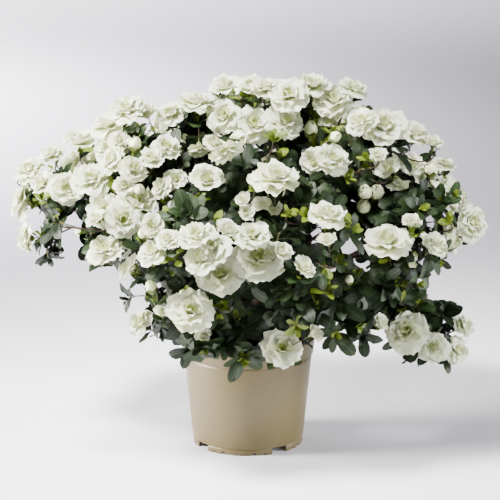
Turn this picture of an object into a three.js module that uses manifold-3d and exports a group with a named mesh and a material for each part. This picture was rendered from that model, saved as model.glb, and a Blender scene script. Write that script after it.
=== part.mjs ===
import * as THREE from 'three';
import { mergeVertices } from 'three/addons/utils/BufferGeometryUtils.js';
import Module from 'manifold-3d';

const wasm = await Module();
wasm.setup();

// A white double-flowered azalea shrub in its plastic pot.
// Sizes are millimetres and degrees. Z is up and the front of the plant faces -Y.
// A turn runs from the front towards the right, and a lift rises from the horizontal.

const clearance = 0.3;

const potSize = {
  height: 120,
  rimRadius: 73.5,
  collarHeight: 19,
  collarStep: 1.6,
  wallTopRadius: 70,
  footRadius: 60.9,
  footInset: 0.8,
  footHeight: 6.6,
  footWidth: 3,
  wall: 1.8,
  floor: 1.8,
  segments: 32,
};

const footCuts = {
  feet: 4,
  firstFootTurn: -10,
  gapWidth: 19,
  notchTurns: [-26.5, -16, 0, 16, 26.5],
  notchRadii: [2.2, 3.3, 2.2, 3.3, 2.2],
};

const compostTop = 108;

const trunkSize = {
  forkHeight: 154,
  lean: 3,
  flareRadius: 13,
  waistRadius: 8.2,
  waistHeight: 0.42,
  neckRadius: 7.4,
  forkRadius: 10.5,
};

// The crown is a little shallower from front to back than it is wide.
const depthShare = 0.84;

// Boughs leave the fork at their own lift and end in a knuckle that carries the stems.
const boughTiers = {
  leader: { count: 3, firstTurn: 60, reach: 44, height: 262, lift: 68, foot: 2.9, tip: 2.2 },
  bough: { count: 6, firstTurn: 20, reach: 104, height: 208, lift: 27, foot: 3.4, tip: 2.4 },
};

const knuckleRadius = 4.4;
// Stems stand on the knuckle's flats, which lie a little inside its corners.
const knuckleSeat = 0.96 * knuckleRadius;
const leastStemAngle = 41;

// Each tier is a ring of foliage masses. Wide, tall and deep are the half sizes of a mass.
const foliageTiers = {
  crest: {
    count: 3, firstTurn: 60, reach: 54, height: 362, lift: 70, limb: 'leader',
    wide: 46, tall: 44, deep: 46, blooms: 3, whorls: 1, colour: 'blossom',
  },
  upper: {
    count: 7, firstTurn: 0, reach: 140, height: 326, lift: 48, limb: 'leader',
    wide: 52, tall: 38, deep: 46, blooms: 3, whorls: 2, colour: 'blossom',
  },
  middle: {
    count: 10, firstTurn: 18, reach: 204, height: 264, lift: 17, limb: 'bough',
    wide: 52, tall: 34, deep: 44, blooms: 3, whorls: 2, colour: 'blossom',
  },
  lower: {
    count: 8, firstTurn: 22.5, reach: 168, height: 201, lift: -2, limb: 'bough',
    wide: 50, tall: 32, deep: 40, blooms: 2, whorls: 3, colour: 'leaves',
  },
  skirt: {
    count: 6, firstTurn: 20, reach: 106, height: 152, lift: -20, limb: 'bough',
    wide: 44, tall: 28, deep: 34, blooms: 1, whorls: 3, colour: 'leaves',
  },
};

// Masses that differ from the rest of their tier: what is added to their turn, place or size.
const habits = {
  crest_1: { height: 14 },
  crest_3: { height: -5 },
  upper_2: { height: 8 },
  upper_3: { height: 8 },
  upper_5: { height: -10 },
  upper_6: { height: -14 },
  upper_7: { height: -8 },
  middle_1: { reach: -4 },
  middle_3: { height: -14 },
  middle_5: { reach: 4 },
  middle_6: { reach: 4 },
  middle_8: { height: 14 },
  middle_10: { reach: -4 },
  lower_2: { height: -14 },
  lower_6: { height: 30, tall: -8 },
  lower_7: { height: 36, tall: -12 },
  skirt_1: { turn: -4, reach: -14, height: -8 },
  skirt_2: { reach: 84, height: -12, blooms: 2 },
  skirt_5: { reach: -14, height: 14 },
  skirt_6: { turn: 12 },
};

const bloomSize = { radius: 23.5, notch: 0.78, tube: 13, rise: 6, heart: 0.46, petals: 5 };
const leafSize = { length: 43, width: 19, broad: 0.62, hub: 3.2 };
const stemSize = { foot: 1.7, tip: 1.5, steps: 3 };
const twigSize = { foot: 1.3, tip: 1.1, steps: 1 };
const nodeRadius = 4.2;

const leavesPerWhorl = 4;
const capAngle = 74;
const goldenTurn = 137.508;
// A spray that has no room is drawn in towards the middle of its mass by these shares.
const pullShares = [1, 0.85, 0.7, 0.55, 0.4];

const colours = {
  pot: 0xbfb08c,
  compost: 0x2e2119,
  bark: 0x5b4334,
  blossom: 0xeeeee2,
  leaves: 0x3d5a34,
};

// Closed meshes to solids and back.

function toSolid(geometry) {
  const plain = geometry.index ? geometry.toNonIndexed() : geometry.clone();
  plain.deleteAttribute('normal');
  plain.deleteAttribute('uv');
  const welded = mergeVertices(plain, 1e-4);
  const corners = [];
  const index = welded.index.array;
  for (let i = 0; i < index.length; i += 3) {
    const [a, b, c] = [index[i], index[i + 1], index[i + 2]];
    if (a !== b && b !== c && c !== a) corners.push(a, b, c);
  }
  return new wasm.Manifold(new wasm.Mesh({
    numProp: 3,
    vertProperties: new Float32Array(welded.attributes.position.array),
    triVerts: new Uint32Array(corners),
  }));
}

function toGeometry(solid) {
  const mesh = solid.getMesh();
  const geometry = new THREE.BufferGeometry();
  geometry.setAttribute('position', new THREE.BufferAttribute(mesh.vertProperties, 3));
  geometry.setIndex(new THREE.BufferAttribute(mesh.triVerts, 1));
  return geometry;
}

// Joins closed pieces into one body. A loose scrap is dropped and a sealed hollow is filled.
function fuse(solids) {
  const whole = solids.reduce((joined, solid) => joined.add(solid));
  const bodies = whole.decompose();
  return bodies.reduce((best, body) => (body.volume() > best.volume() ? body : best));
}

function namedMesh(name, solid, colour, roughness) {
  const material = new THREE.MeshStandardMaterial({ color: colour, roughness, metalness: 0 });
  const mesh = new THREE.Mesh(toGeometry(solid), material);
  mesh.name = name;
  return mesh;
}

// Repeatable draws between two values.
function dice(seed) {
  let state = (Math.imul(seed + 17, 2654435761) + 12345) >>> 0;
  return (low, high) => {
    state = (Math.imul(state, 1664525) + 1013904223) >>> 0;
    return low + ((high - low) * state) / 4294967296;
  };
}

function radians(degrees) {
  return (degrees * Math.PI) / 180;
}

function direction(turn, lift) {
  const flat = Math.cos(radians(lift));
  const x = Math.sin(radians(turn)) * flat;
  const y = -Math.cos(radians(turn)) * flat;
  return new THREE.Vector3(x, y, Math.sin(radians(lift)));
}

function place(turn, reach, height) {
  const level = direction(turn, 0);
  return new THREE.Vector3(level.x * reach, level.y * reach * depthShare, height);
}

// A point moved by a distance along a direction.
function along(point, step, distance) {
  return point.clone().addScaledVector(step, distance);
}

// Two directions square to an axis: one level, the other rising.
function squareTo(axis) {
  const level = new THREE.Vector3(-axis.y, axis.x, 0);
  if (level.length() < 0.05) level.set(1, 0, 0);
  level.normalize();
  return [level, new THREE.Vector3().crossVectors(axis, level)];
}

// A round bar bent along a curve. Its radius comes from the share of the way along it.
function bentBar(curve, radiusAt, sides, steps) {
  const geometry = new THREE.CylinderGeometry(1, 1, 1, sides, steps);
  const reach = curve.getPoint(1).sub(curve.getPoint(0)).normalize();
  const [level] = squareTo(reach);
  const position = geometry.attributes.position;
  for (let i = 0; i < position.count; i++) {
    const share = position.getY(i) + 0.5;
    const tangent = curve.getTangent(share);
    const across = level.clone().addScaledVector(tangent, -level.dot(tangent)).normalize();
    const over = new THREE.Vector3().crossVectors(tangent, across);
    const radius = radiusAt(share);
    const point = curve.getPoint(share);
    point.addScaledVector(over, position.getX(i) * radius);
    point.addScaledVector(across, position.getZ(i) * radius);
    position.setXYZ(i, point.x, point.y, point.z);
  }
  return geometry;
}

function taper(foot, tip) {
  return (share) => foot + (tip - foot) * share;
}

// Turns a profile of [radius, height] pairs about the upright axis.
function turned(profile, segments) {
  const points = profile.map(([radius, height]) => new THREE.Vector2(radius, height));
  return new THREE.LatheGeometry(points, segments).rotateX(Math.PI / 2);
}

// The pot: a tapered wall, a collar round the rim, and a foot ring cut into notched feet.

function innerRadius(height) {
  const share = (height - potSize.footHeight) / (potSize.height - potSize.footHeight);
  const foot = potSize.footRadius - potSize.wall;
  return foot + (potSize.rimRadius - 2 * potSize.wall + 1 - foot) * share;
}

function makePot() {
  const { height, rimRadius, collarHeight, collarStep, wallTopRadius, footRadius } = potSize;
  const { footHeight, footInset, footWidth, floor } = potSize;
  const ringRadius = footRadius - footInset;
  const collarLow = height - collarHeight;
  const edge = 0.7;
  const floorTop = footHeight + floor;
  const profile = [
    [0, footHeight],
    [ringRadius - footWidth, footHeight],
    [ringRadius - footWidth, 0],
    [ringRadius, 0],
    [ringRadius, footHeight - 0.5],
    [footRadius, footHeight],
    [wallTopRadius, collarLow],
    [wallTopRadius + collarStep, collarLow + edge],
    [rimRadius, height - edge],
    [rimRadius - edge, height],
    [innerRadius(height) + edge, height],
    [innerRadius(height - edge), height - edge],
    [innerRadius(floorTop), floorTop],
    [0, floorTop],
  ];
  let solid = toSolid(turned(profile, potSize.segments));
  for (let foot = 0; foot < footCuts.feet; foot++) {
    const turn = footCuts.firstFootTurn + (foot * 360) / footCuts.feet;
    solid = solid.subtract(footGap(turn + 180 / footCuts.feet));
    footCuts.notchTurns.forEach((offset, i) => {
      solid = solid.subtract(footNotch(turn + offset, footCuts.notchRadii[i]));
    });
  }
  return solid;
}

function footGap(turn) {
  const { footRadius, footWidth, footHeight } = potSize;
  const gap = new THREE.BoxGeometry(footCuts.gapWidth, 4 * footWidth, 2 * (footHeight - 0.6));
  gap.translate(0, -footRadius + footWidth, 0).rotateZ(radians(turn));
  return toSolid(gap);
}

function footNotch(turn, radius) {
  const notch = new THREE.CylinderGeometry(radius, radius, 4 * potSize.footWidth, 4);
  notch.translate(0, -potSize.footRadius + potSize.footWidth, 0).rotateZ(radians(turn));
  return toSolid(notch);
}

function makeCompost() {
  const low = potSize.footHeight + potSize.floor + clearance;
  const profile = [
    [0, low],
    [innerRadius(low) - 2 * clearance, low],
    [innerRadius(compostTop) - 2 * clearance, compostTop],
    [0, compostTop],
  ];
  return toSolid(turned(profile, potSize.segments));
}

// The trunk: a flared foot cut flat on the compost, a slight lean, and a swollen fork.

const fork = new THREE.Vector3(trunkSize.lean, 0, trunkSize.forkHeight);

function trunkRadius(share) {
  const { flareRadius, waistRadius, waistHeight, neckRadius } = trunkSize;
  if (share > waistHeight) {
    return waistRadius + ((neckRadius - waistRadius) * (share - waistHeight)) / (1 - waistHeight);
  }
  const flare = (1 - share / waistHeight) ** 2;
  return waistRadius + (flareRadius - waistRadius) * flare;
}

function makeTrunk() {
  const foot = new THREE.Vector3(0, 0, compostTop + clearance);
  const elbow = new THREE.Vector3(0, 0, (foot.z + fork.z) / 2);
  const curve = new THREE.QuadraticBezierCurve3(foot, elbow, fork);
  const head = new THREE.SphereGeometry(trunkSize.forkRadius, 8, 6);
  head.rotateX(Math.PI / 2).translate(fork.x, fork.y, fork.z);
  return fuse([toSolid(bentBar(curve, trunkRadius, 8, 5)), toSolid(head)]);
}

// Boughs: one tapering limb each, from the fork to the knuckle at its tip.

function planBoughs() {
  const boughs = [];
  for (const [tier, size] of Object.entries(boughTiers)) {
    for (let i = 0; i < size.count; i++) {
      const turn = size.firstTurn + (i * 360) / size.count;
      const leave = direction(turn, size.lift);
      const foot = along(fork, leave, trunkSize.forkRadius + clearance);
      const knuckle = place(turn, size.reach, size.height);
      const elbow = along(foot, leave, foot.distanceTo(knuckle) * 0.5);
      const curve = new THREE.QuadraticBezierCurve3(foot, elbow, knuckle);
      boughs.push({ name: `${tier}_${i + 1}`, tier, size, curve, knuckle, masses: [] });
    }
  }
  return boughs;
}

function makeBough({ size, curve, knuckle }) {
  const ball = new THREE.OctahedronGeometry(knuckleRadius, 1).translate(...knuckle.toArray());
  return fuse([toSolid(bentBar(curve, taper(size.foot, size.tip), 5, 4)), toSolid(ball)]);
}

// Foliage masses: a centre, an outward direction, and a stem from the nearest knuckle.

function planMasses(boughs) {
  const masses = [];
  for (const [tier, tierSize] of Object.entries(foliageTiers)) {
    for (let i = 0; i < tierSize.count; i++) {
      const name = `${tier}_${i + 1}`;
      const size = { ...tierSize, turn: tierSize.firstTurn + (i * 360) / tierSize.count };
      for (const [key, change] of Object.entries(habits[name] ?? {})) size[key] += change;
      const centre = place(size.turn, size.reach, size.height);
      const mass = { name, size, centre, outward: direction(size.turn, size.lift) };
      mass.seed = masses.length + 1;
      mass.bough = nearestBough(boughs, size.limb, centre);
      mass.bough.masses.push(mass);
      masses.push(mass);
    }
  }
  boughs.forEach(shareKnuckle);
  masses.forEach(planStem);
  return masses;
}

function nearestBough(boughs, limb, centre) {
  const same = boughs.filter((bough) => bough.tier === limb);
  const gapTo = (bough) => bough.knuckle.distanceTo(centre);
  return same.reduce((best, bough) => (gapTo(bough) < gapTo(best) ? bough : best));
}

// Stems that share a knuckle lean apart until they leave it at a fair angle to each other.
function shareKnuckle({ masses, knuckle, curve }) {
  const back = curve.getTangent(1).negate();
  const leaving = masses.map((mass) => mass.centre.clone().sub(knuckle).normalize());
  const least = radians(leastStemAngle);
  for (let round = 0; round < 60; round++) {
    leaving.forEach((leave, i) => {
      const push = new THREE.Vector3();
      leaving.forEach((other, j) => {
        if (i !== j && leave.angleTo(other) < least) push.add(leave).sub(other);
      });
      if (leave.angleTo(back) < least * 1.2) push.add(leave).sub(back);
      leave.addScaledVector(push, 0.12).normalize();
    });
  }
  masses.forEach((mass, i) => { mass.leave = leaving[i]; });
}

function planStem(mass) {
  const foot = along(mass.bough.knuckle, mass.leave, knuckleSeat + clearance);
  mass.fork = along(mass.centre, mass.outward, -0.4 * mass.size.deep);
  const elbow = along(foot, mass.leave, foot.distanceTo(mass.fork) * 0.45);
  mass.stem = new THREE.QuadraticBezierCurve3(foot, elbow, mass.fork);
}

// Everything that foliage has to stay clear of.

function limbSamples(name, curve, radiusAt) {
  const samples = [];
  for (let i = 0; i <= 12; i++) {
    samples.push({ name, point: curve.getPoint(i / 12), radius: radiusAt(i / 12) });
  }
  return samples;
}

function segmentDistance(point, a, b) {
  const line = new THREE.Line3(a, b);
  return line.closestPointToPoint(point, true, new THREE.Vector3()).distanceTo(point);
}

function clearOfLimbs(mass, points, room) {
  return limbs.every((limb) => limb.name === mass.name || points.every((point) => {
    for (let i = 1; i < limb.samples.length; i++) {
      const [a, b] = [limb.samples[i - 1], limb.samples[i]];
      if (segmentDistance(point, a.point, b.point) < a.radius + room) return false;
    }
    return true;
  }));
}

function clearOfPot(points) {
  const room = 3;
  return points.every((point) => {
    const off = Math.hypot(point.x, point.y) - potSize.rimRadius;
    return point.z > potSize.height + room || off > room;
  });
}

// A point belongs to the mass whose centre is nearest, less a margin at the border.
function inOwnSpace(mass, points, margin) {
  return points.every((point) => masses.every((other) => {
    if (other === mass) return true;
    const apart = other.centre.distanceTo(mass.centre);
    const lead = point.distanceToSquared(other.centre) - point.distanceToSquared(mass.centre);
    return lead > 2 * margin * apart;
  }));
}

function fits(mass, points, room) {
  return clearOfPot(points) && inOwnSpace(mass, points, 0.5) && clearOfLimbs(mass, points, room);
}

// Shapes of the small parts. Each stands on its axis, which runs up +Z from the origin.

function facets(points, faces) {
  const geometry = new THREE.BufferGeometry();
  geometry.setAttribute('position', new THREE.Float32BufferAttribute(points.flat(), 3));
  return geometry.setIndex(faces.flat());
}

// A double bloom: a funnel with scalloped petals round a raised heart.
function bloomShape(scale) {
  const { radius, notch, tube, rise, heart, petals } = bloomSize;
  const rim = 2 * petals;
  const points = [];
  for (let i = 0; i < rim; i++) {
    const turn = (i * Math.PI) / petals;
    const reach = radius * scale * (i % 2 ? notch : 1);
    points.push([reach * Math.cos(turn), reach * Math.sin(turn), i % 2 ? 2 * scale : 0]);
  }
  for (let i = 0; i < petals; i++) {
    const turn = ((2 * i + 1) * Math.PI) / petals;
    const reach = radius * heart * scale;
    points.push([reach * Math.cos(turn), reach * Math.sin(turn), rise * scale]);
  }
  const top = points.push([0, 0, rise * 0.6 * scale]) - 1;
  const base = points.push([0, 0, -tube * scale]) - 1;
  const faces = [];
  for (let i = 0; i < petals; i++) {
    const [before, tip, after] = [(2 * i + rim - 1) % rim, 2 * i, 2 * i + 1];
    const [left, right] = [rim + ((i + petals - 1) % petals), rim + i];
    faces.push([before, tip, left], [tip, after, right], [tip, right, left], [left, right, top]);
    faces.push([tip, before, base], [after, tip, base]);
  }
  return facets(points, faces);
}

// The two broad corners and the tip of one leaf of a whorl.
function leafPoints({ turn, open, length }) {
  const half = radians(turn);
  const width = (leafSize.width * length) / leafSize.length;
  return [[-0.5, leafSize.broad], [0, 1], [0.5, leafSize.broad]].map(([side, out]) => {
    const flat = Math.sin(radians(open)) * length * out;
    const across = side * width;
    return [
      flat * Math.cos(half) - across * Math.sin(half),
      flat * Math.sin(half) + across * Math.cos(half),
      Math.cos(radians(open)) * length * out,
    ];
  });
}

// A whorl of leaves in one piece, each broadest past its middle. A leaf with no room has no length.
function whorlShape(leaves) {
  const points = [];
  leaves.forEach((leaf, i) => {
    const next = leaves[(i + 1) % leaves.length];
    const notch = radians(leaf.turn + ((next.turn - leaf.turn + 360) % 360) / 2);
    if (leaf.length > 0) points.push(...leafPoints(leaf));
    points.push([leafSize.hub * Math.cos(notch), leafSize.hub * Math.sin(notch), 0]);
  });
  const top = points.push([0, 0, leafSize.hub]) - 1;
  const base = points.push([0, 0, -leafSize.hub]) - 1;
  const faces = [];
  for (let i = 0; i < top; i++) faces.push([i, (i + 1) % top, top], [(i + 1) % top, i, base]);
  return facets(points, faces);
}

// Stands a shape on a hub, with its upright axis turned to the spray's own.
function standing(shape, hub, axis) {
  const matrix = new THREE.Matrix4().makeBasis(...squareTo(axis), axis);
  return shape.applyMatrix4(matrix.setPosition(hub));
}

function corners(geometry) {
  const position = geometry.attributes.position;
  const points = [];
  for (let i = 0; i < position.count; i++) {
    points.push(new THREE.Vector3().fromBufferAttribute(position, i));
  }
  return points;
}

// Corners, and points between the root and each of them, so that a limb can't slip between.
function probes(geometry, root) {
  const points = corners(geometry);
  return points.concat(points.map((point) => point.clone().lerp(root, 0.5)));
}

// Sprays stand on a spiral cap that faces outward. The first ones carry the blooms.
function planSprays(mass) {
  const roll = dice(mass.seed);
  const { wide, tall, deep, blooms, whorls } = mass.size;
  const [level, rising] = squareTo(mass.outward);
  const count = blooms + whorls;
  const startTurn = roll(0, 360);
  const sprays = [];
  for (let i = 0; i < count; i++) {
    const around = radians(startTurn + i * goldenTurn);
    const slope = radians(capAngle) * Math.sqrt((i + 0.9) / count);
    const size = roll(0.86, 1.1);
    const blooming = i < blooms;
    const leaves = drawLeaves(roll);
    for (const pull of pullShares) {
      const hub = along(mass.centre, mass.outward, deep * Math.cos(slope) * (blooming ? 1 : 0.94));
      hub.addScaledVector(level, wide * pull * Math.sin(slope) * Math.cos(around));
      hub.addScaledVector(rising, tall * pull * Math.sin(slope) * Math.sin(around));
      const axis = along(hub.clone().sub(mass.fork).normalize(), mass.outward, 0.9);
      axis.z += blooming ? 0.3 : 0.1;
      const spray = { hub, axis: axis.normalize(), size, blooming, leaves };
      if (sprays.every((other) => sprayGap(spray, other) > 0) && sprayFits(mass, spray)) {
        sprays.push(spray);
        break;
      }
    }
  }
  return sprays;
}

function drawLeaves(roll) {
  const start = roll(0, 360);
  const leaves = [];
  for (let i = 0; i < leavesPerWhorl; i++) {
    const turn = start + ((i + roll(-0.14, 0.14)) * 360) / leavesPerWhorl;
    leaves.push({ turn, open: roll(50, 76), length: leafSize.length * roll(0.82, 1.1) });
  }
  return leaves;
}

// The room left between the hubs of two sprays.
function sprayGap(spray, other) {
  const room = bloomSize.radius * (spray.blooming && other.blooming ? 1.45 : 0.95);
  return spray.hub.distanceTo(other.hub) - room * spray.size;
}

function sprayFits(mass, spray) {
  const twig = twigTo(mass, spray);
  const way = [0.3, 0.5, 0.7, 0.9].map((share) => twig.getPoint(share));
  if (!fits(mass, way, 2.5)) return false;
  if (!spray.blooming) return fits(mass, [spray.hub], leafSize.hub);
  return fits(mass, probes(standing(bloomShape(spray.size), spray.hub, spray.axis), spray.hub), 3);
}

function twigTo(mass, { hub, axis, size, blooming }) {
  const end = along(hub, axis, blooming ? -bloomSize.tube * 0.55 * size : 0);
  const reach = mass.fork.distanceTo(end);
  const heading = end.clone().sub(mass.fork).normalize().add(mass.outward).normalize();
  return new THREE.QuadraticBezierCurve3(mass.fork, along(mass.fork, heading, reach * 0.45), end);
}

// Keeps each leaf as long as its room allows, and skips one that has none.
function fitLeaves(mass, { hub, axis, leaves }) {
  const matrix = new THREE.Matrix4().makeBasis(...squareTo(axis), axis).setPosition(hub);
  return leaves.map((leaf) => {
    const length = [1, 0.85, 0.7].map((share) => share * leaf.length).find((long) => {
      const points = leafPoints({ ...leaf, length: long });
      const placed = points.map((point) => new THREE.Vector3(...point).applyMatrix4(matrix));
      return fits(mass, placed.concat(placed.map((point) => point.clone().lerp(hub, 0.5))), 3.5);
    });
    return { ...leaf, length: length || 0 };
  });
}

// One mass: its stem, the node where its twigs fork, and a bloom or a whorl on every twig.
function makeMass(mass) {
  const node = new THREE.OctahedronGeometry(nodeRadius).translate(...mass.fork.toArray());
  const pieces = [bentBar(mass.stem, taper(stemSize.foot, stemSize.tip), 3, stemSize.steps), node];
  for (const spray of planSprays(mass)) {
    const shape = spray.blooming ? bloomShape(spray.size) : whorlShape(fitLeaves(mass, spray));
    pieces.push(standing(shape, spray.hub, spray.axis));
    pieces.push(bentBar(twigTo(mass, spray), taper(twigSize.foot, twigSize.tip), 3, twigSize.steps));
  }
  return fuse(pieces.map(toSolid));
}

// The whole plant.

const boughs = planBoughs();
const masses = planMasses(boughs);
const limbs = [
  ...boughs.map((bough) => ({
    name: bough.name,
    samples: limbSamples(bough.name, bough.curve, taper(bough.size.foot, knuckleRadius)),
  })),
  ...masses.map((mass) => ({
    name: mass.name,
    samples: limbSamples(mass.name, mass.stem, taper(stemSize.foot, stemSize.tip)),
  })),
];

const azalea = new THREE.Group();
azalea.add(namedMesh('pot', makePot(), colours.pot, 0.5));
azalea.add(namedMesh('compost', makeCompost(), colours.compost, 0.95));
azalea.add(namedMesh('trunk', makeTrunk(), colours.bark, 0.85));
for (const bough of boughs) {
  azalea.add(namedMesh(bough.name, makeBough(bough), colours.bark, 0.85));
}
for (const mass of masses) {
  azalea.add(namedMesh(`foliage_${mass.name}`, makeMass(mass), colours[mass.size.colour], 0.6));
}

export default azalea;
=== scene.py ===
# A white double-flowered azalea in its plastic pot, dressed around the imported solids.
import math

import bmesh
import bpy
import numpy as np
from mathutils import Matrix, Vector, noise


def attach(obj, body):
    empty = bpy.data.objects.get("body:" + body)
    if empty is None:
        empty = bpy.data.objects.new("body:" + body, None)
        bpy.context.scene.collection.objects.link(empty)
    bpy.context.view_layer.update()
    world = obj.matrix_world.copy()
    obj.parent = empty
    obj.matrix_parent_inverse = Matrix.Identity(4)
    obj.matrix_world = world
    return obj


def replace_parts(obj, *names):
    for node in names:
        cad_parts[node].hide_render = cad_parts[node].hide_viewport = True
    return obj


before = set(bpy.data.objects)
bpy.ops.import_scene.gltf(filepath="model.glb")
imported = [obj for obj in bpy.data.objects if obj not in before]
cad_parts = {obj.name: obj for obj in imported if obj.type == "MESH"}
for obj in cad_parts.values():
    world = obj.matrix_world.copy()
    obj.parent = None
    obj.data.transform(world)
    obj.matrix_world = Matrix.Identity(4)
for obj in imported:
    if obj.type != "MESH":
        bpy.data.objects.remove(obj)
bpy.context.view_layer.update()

metre = 0.001  # shapes below are worked out in millimetres and meshed in metres


# Small helpers for points, shapes and meshes

def unit(vector):
    return vector / np.linalg.norm(vector)


def smoothStep(share):
    share = np.clip(share, 0, 1)
    return share * share * (3 - 2 * share)


def direction(turn, lift):
    flat = math.cos(math.radians(lift))
    x = math.sin(math.radians(turn)) * flat
    y = -math.cos(math.radians(turn)) * flat
    return np.array((x, y, math.sin(math.radians(lift))))


def squareTo(axis):
    level = np.array((-axis[1], axis[0], 0.0))
    if np.linalg.norm(level) < 0.05:  # an upright axis has no level side of its own
        level = np.array((1.0, 0.0, 0.0))
    level = unit(level)
    return level, np.cross(axis, level)


def standing(points, hub, axis):  # points on their own upright axis, stood on a hub
    level, rising = squareTo(axis)
    return points @ np.array((level, rising, axis)) + hub


def walked(steps):  # how far along after each step, from 0
    return np.concatenate(([0], np.cumsum(steps[1:])))


def bezier(curve, share):
    start, elbow, end = curve
    share = np.atleast_1d(share)[:, None]
    return (1 - share) ** 2 * start + 2 * share * (1 - share) * elbow + share ** 2 * end


diceRule = {"shift": 17, "spread": 2654435761, "start": 12345, "grow": 1664525, "step": 1013904223,
            "span": 2 ** 32}


def dice(seed):  # repeatable draws between two values
    rule = diceRule
    state = ((seed + rule["shift"]) * rule["spread"] + rule["start"]) % rule["span"]

    def roll(low, high):
        nonlocal state
        state = (state * rule["grow"] + rule["step"]) % rule["span"]
        return low + (high - low) * state / rule["span"]
    return roll


def asShape(bm):  # the points and faces of a bmesh as arrays
    bm.verts.index_update()
    shape = {
        "points": np.array([v.co[:] for v in bm.verts]),
        "corners": np.array([v.index for f in bm.faces for v in f.verts]),
        "sizes": np.array([len(f.verts) for f in bm.faces]),
        "tones": np.array([f.material_index for f in bm.faces]),
    }
    bm.free()
    return shape


def faceMiddles(shape):  # of a shape whose faces all have four corners
    return shape["points"][shape["corners"]].reshape(-1, 4, 3).mean(1)


def fillMesh(mesh, shape, copies):
    # One mesh from many copies of a shape: copies holds the points of each copy.
    copies = np.asarray(copies)
    count, points = copies.shape[0], copies.shape[1]
    shift = np.arange(count)[:, None] * points
    corners = (shape["corners"][None, :] + shift).ravel()
    sizes = np.tile(shape["sizes"], count)
    mesh.vertices.add(count * points)
    mesh.vertices.foreach_set("co", (copies * metre).astype(np.float32).ravel())
    mesh.loops.add(len(corners))
    mesh.loops.foreach_set("vertex_index", corners.astype(np.int32))
    mesh.polygons.add(len(sizes))
    mesh.polygons.foreach_set("loop_start", (np.cumsum(sizes) - sizes).astype(np.int32))
    mesh.polygons.foreach_set("material_index", np.tile(shape["tones"], count).astype(np.int32))
    mesh.update(calc_edges=True)
    mesh.validate()


def placed(name, data):
    thing = bpy.data.objects.new(name, data)
    bpy.context.scene.collection.objects.link(thing)
    return thing


def joined(name, shape, copies, materials, slot):
    mesh = bpy.data.meshes.new(name)
    fillMesh(mesh, shape, copies)
    return piece(name, mesh, materials, slot)


def piece(name, mesh, materials, slot):
    for material in materials:
        mesh.materials.append(material)
    mesh.polygons.foreach_set("use_smooth", [True] * len(mesh.polygons))
    thing = placed(name, mesh)
    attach(thing, "root")
    return thing


def fromBmesh(name, bm, materials, slot):
    mesh = bpy.data.meshes.new(name)
    bm.to_mesh(mesh)
    bm.free()
    return piece(name, mesh, materials, slot)


def spun(profile, steps):  # an outline of radius and height turned about the Z axis
    bm = bmesh.new()
    verts = [bm.verts.new((radius * metre, 0, height * metre)) for radius, height in profile]
    edges = [bm.edges.new(pair) for pair in zip(verts, verts[1:])]
    bmesh.ops.spin(bm, geom=verts + edges, cent=(0, 0, 0), axis=(0, 0, 1), angle=math.tau,
                   steps=steps, use_merge=True, use_duplicate=False)
    bmesh.ops.remove_doubles(bm, verts=bm.verts, dist=1e-6)
    bmesh.ops.recalc_face_normals(bm, faces=bm.faces)
    return bm


def gridShape(columns, rows):  # a sheet from -1 to 1 across and 0 to 1 along
    bm = bmesh.new()
    bmesh.ops.create_grid(bm, x_segments=columns, y_segments=rows, size=1)
    shape = asShape(bm)
    shape["points"][:, 1] = (shape["points"][:, 1] + 1) / 2
    return shape


def tubeShape(sides, steps):  # a closed unit tube from 0 to 1 along Z
    bm = bmesh.new()
    bmesh.ops.create_circle(bm, cap_ends=True, radius=1, segments=sides)
    edges = list(bm.edges)
    for step in range(steps):
        grown = bmesh.ops.extrude_edge_only(bm, edges=edges)["geom"]
        ring = [part for part in grown if isinstance(part, bmesh.types.BMVert)]
        bmesh.ops.translate(bm, verts=ring, vec=(0, 0, 1 / steps))
        edges = [edge for edge in bm.edges if all(v in ring for v in edge.verts)]
    bmesh.ops.contextual_create(bm, geom=edges)
    bmesh.ops.recalc_face_normals(bm, faces=bm.faces)
    return asShape(bm)


def bentTube(shape, curve, radiusAt):  # the tube's points laid along a curve of three points
    around, share = shape["points"][:, :2], shape["points"][:, 2]
    start, elbow, end = curve
    tangent = 2 * (1 - share)[:, None] * (elbow - start) + 2 * share[:, None] * (end - elbow)
    tangent /= np.linalg.norm(tangent, axis=1)[:, None]
    level = squareTo(unit(end - start))[0]
    across = level - tangent * (tangent @ level)[:, None]
    across /= np.linalg.norm(across, axis=1)[:, None]
    over = np.cross(tangent, across)
    radius = radiusAt(share)[:, None]
    return bezier(curve, share) + radius * (across * around[:, :1] + over * around[:, 1:])


# Materials

# The relief's inputs, how coarse its outputs are beside Scale, and the span of the mottling that is used
reliefSize = {"inputs": (("Scale", 100.0), ("Stretch", 1.0), ("Roughness", 0.5)),
              "outputs": (("Height", 1.0), ("Mottle", 0.12)), "detail": 4, "span": (0.36, 0.64)}


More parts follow.
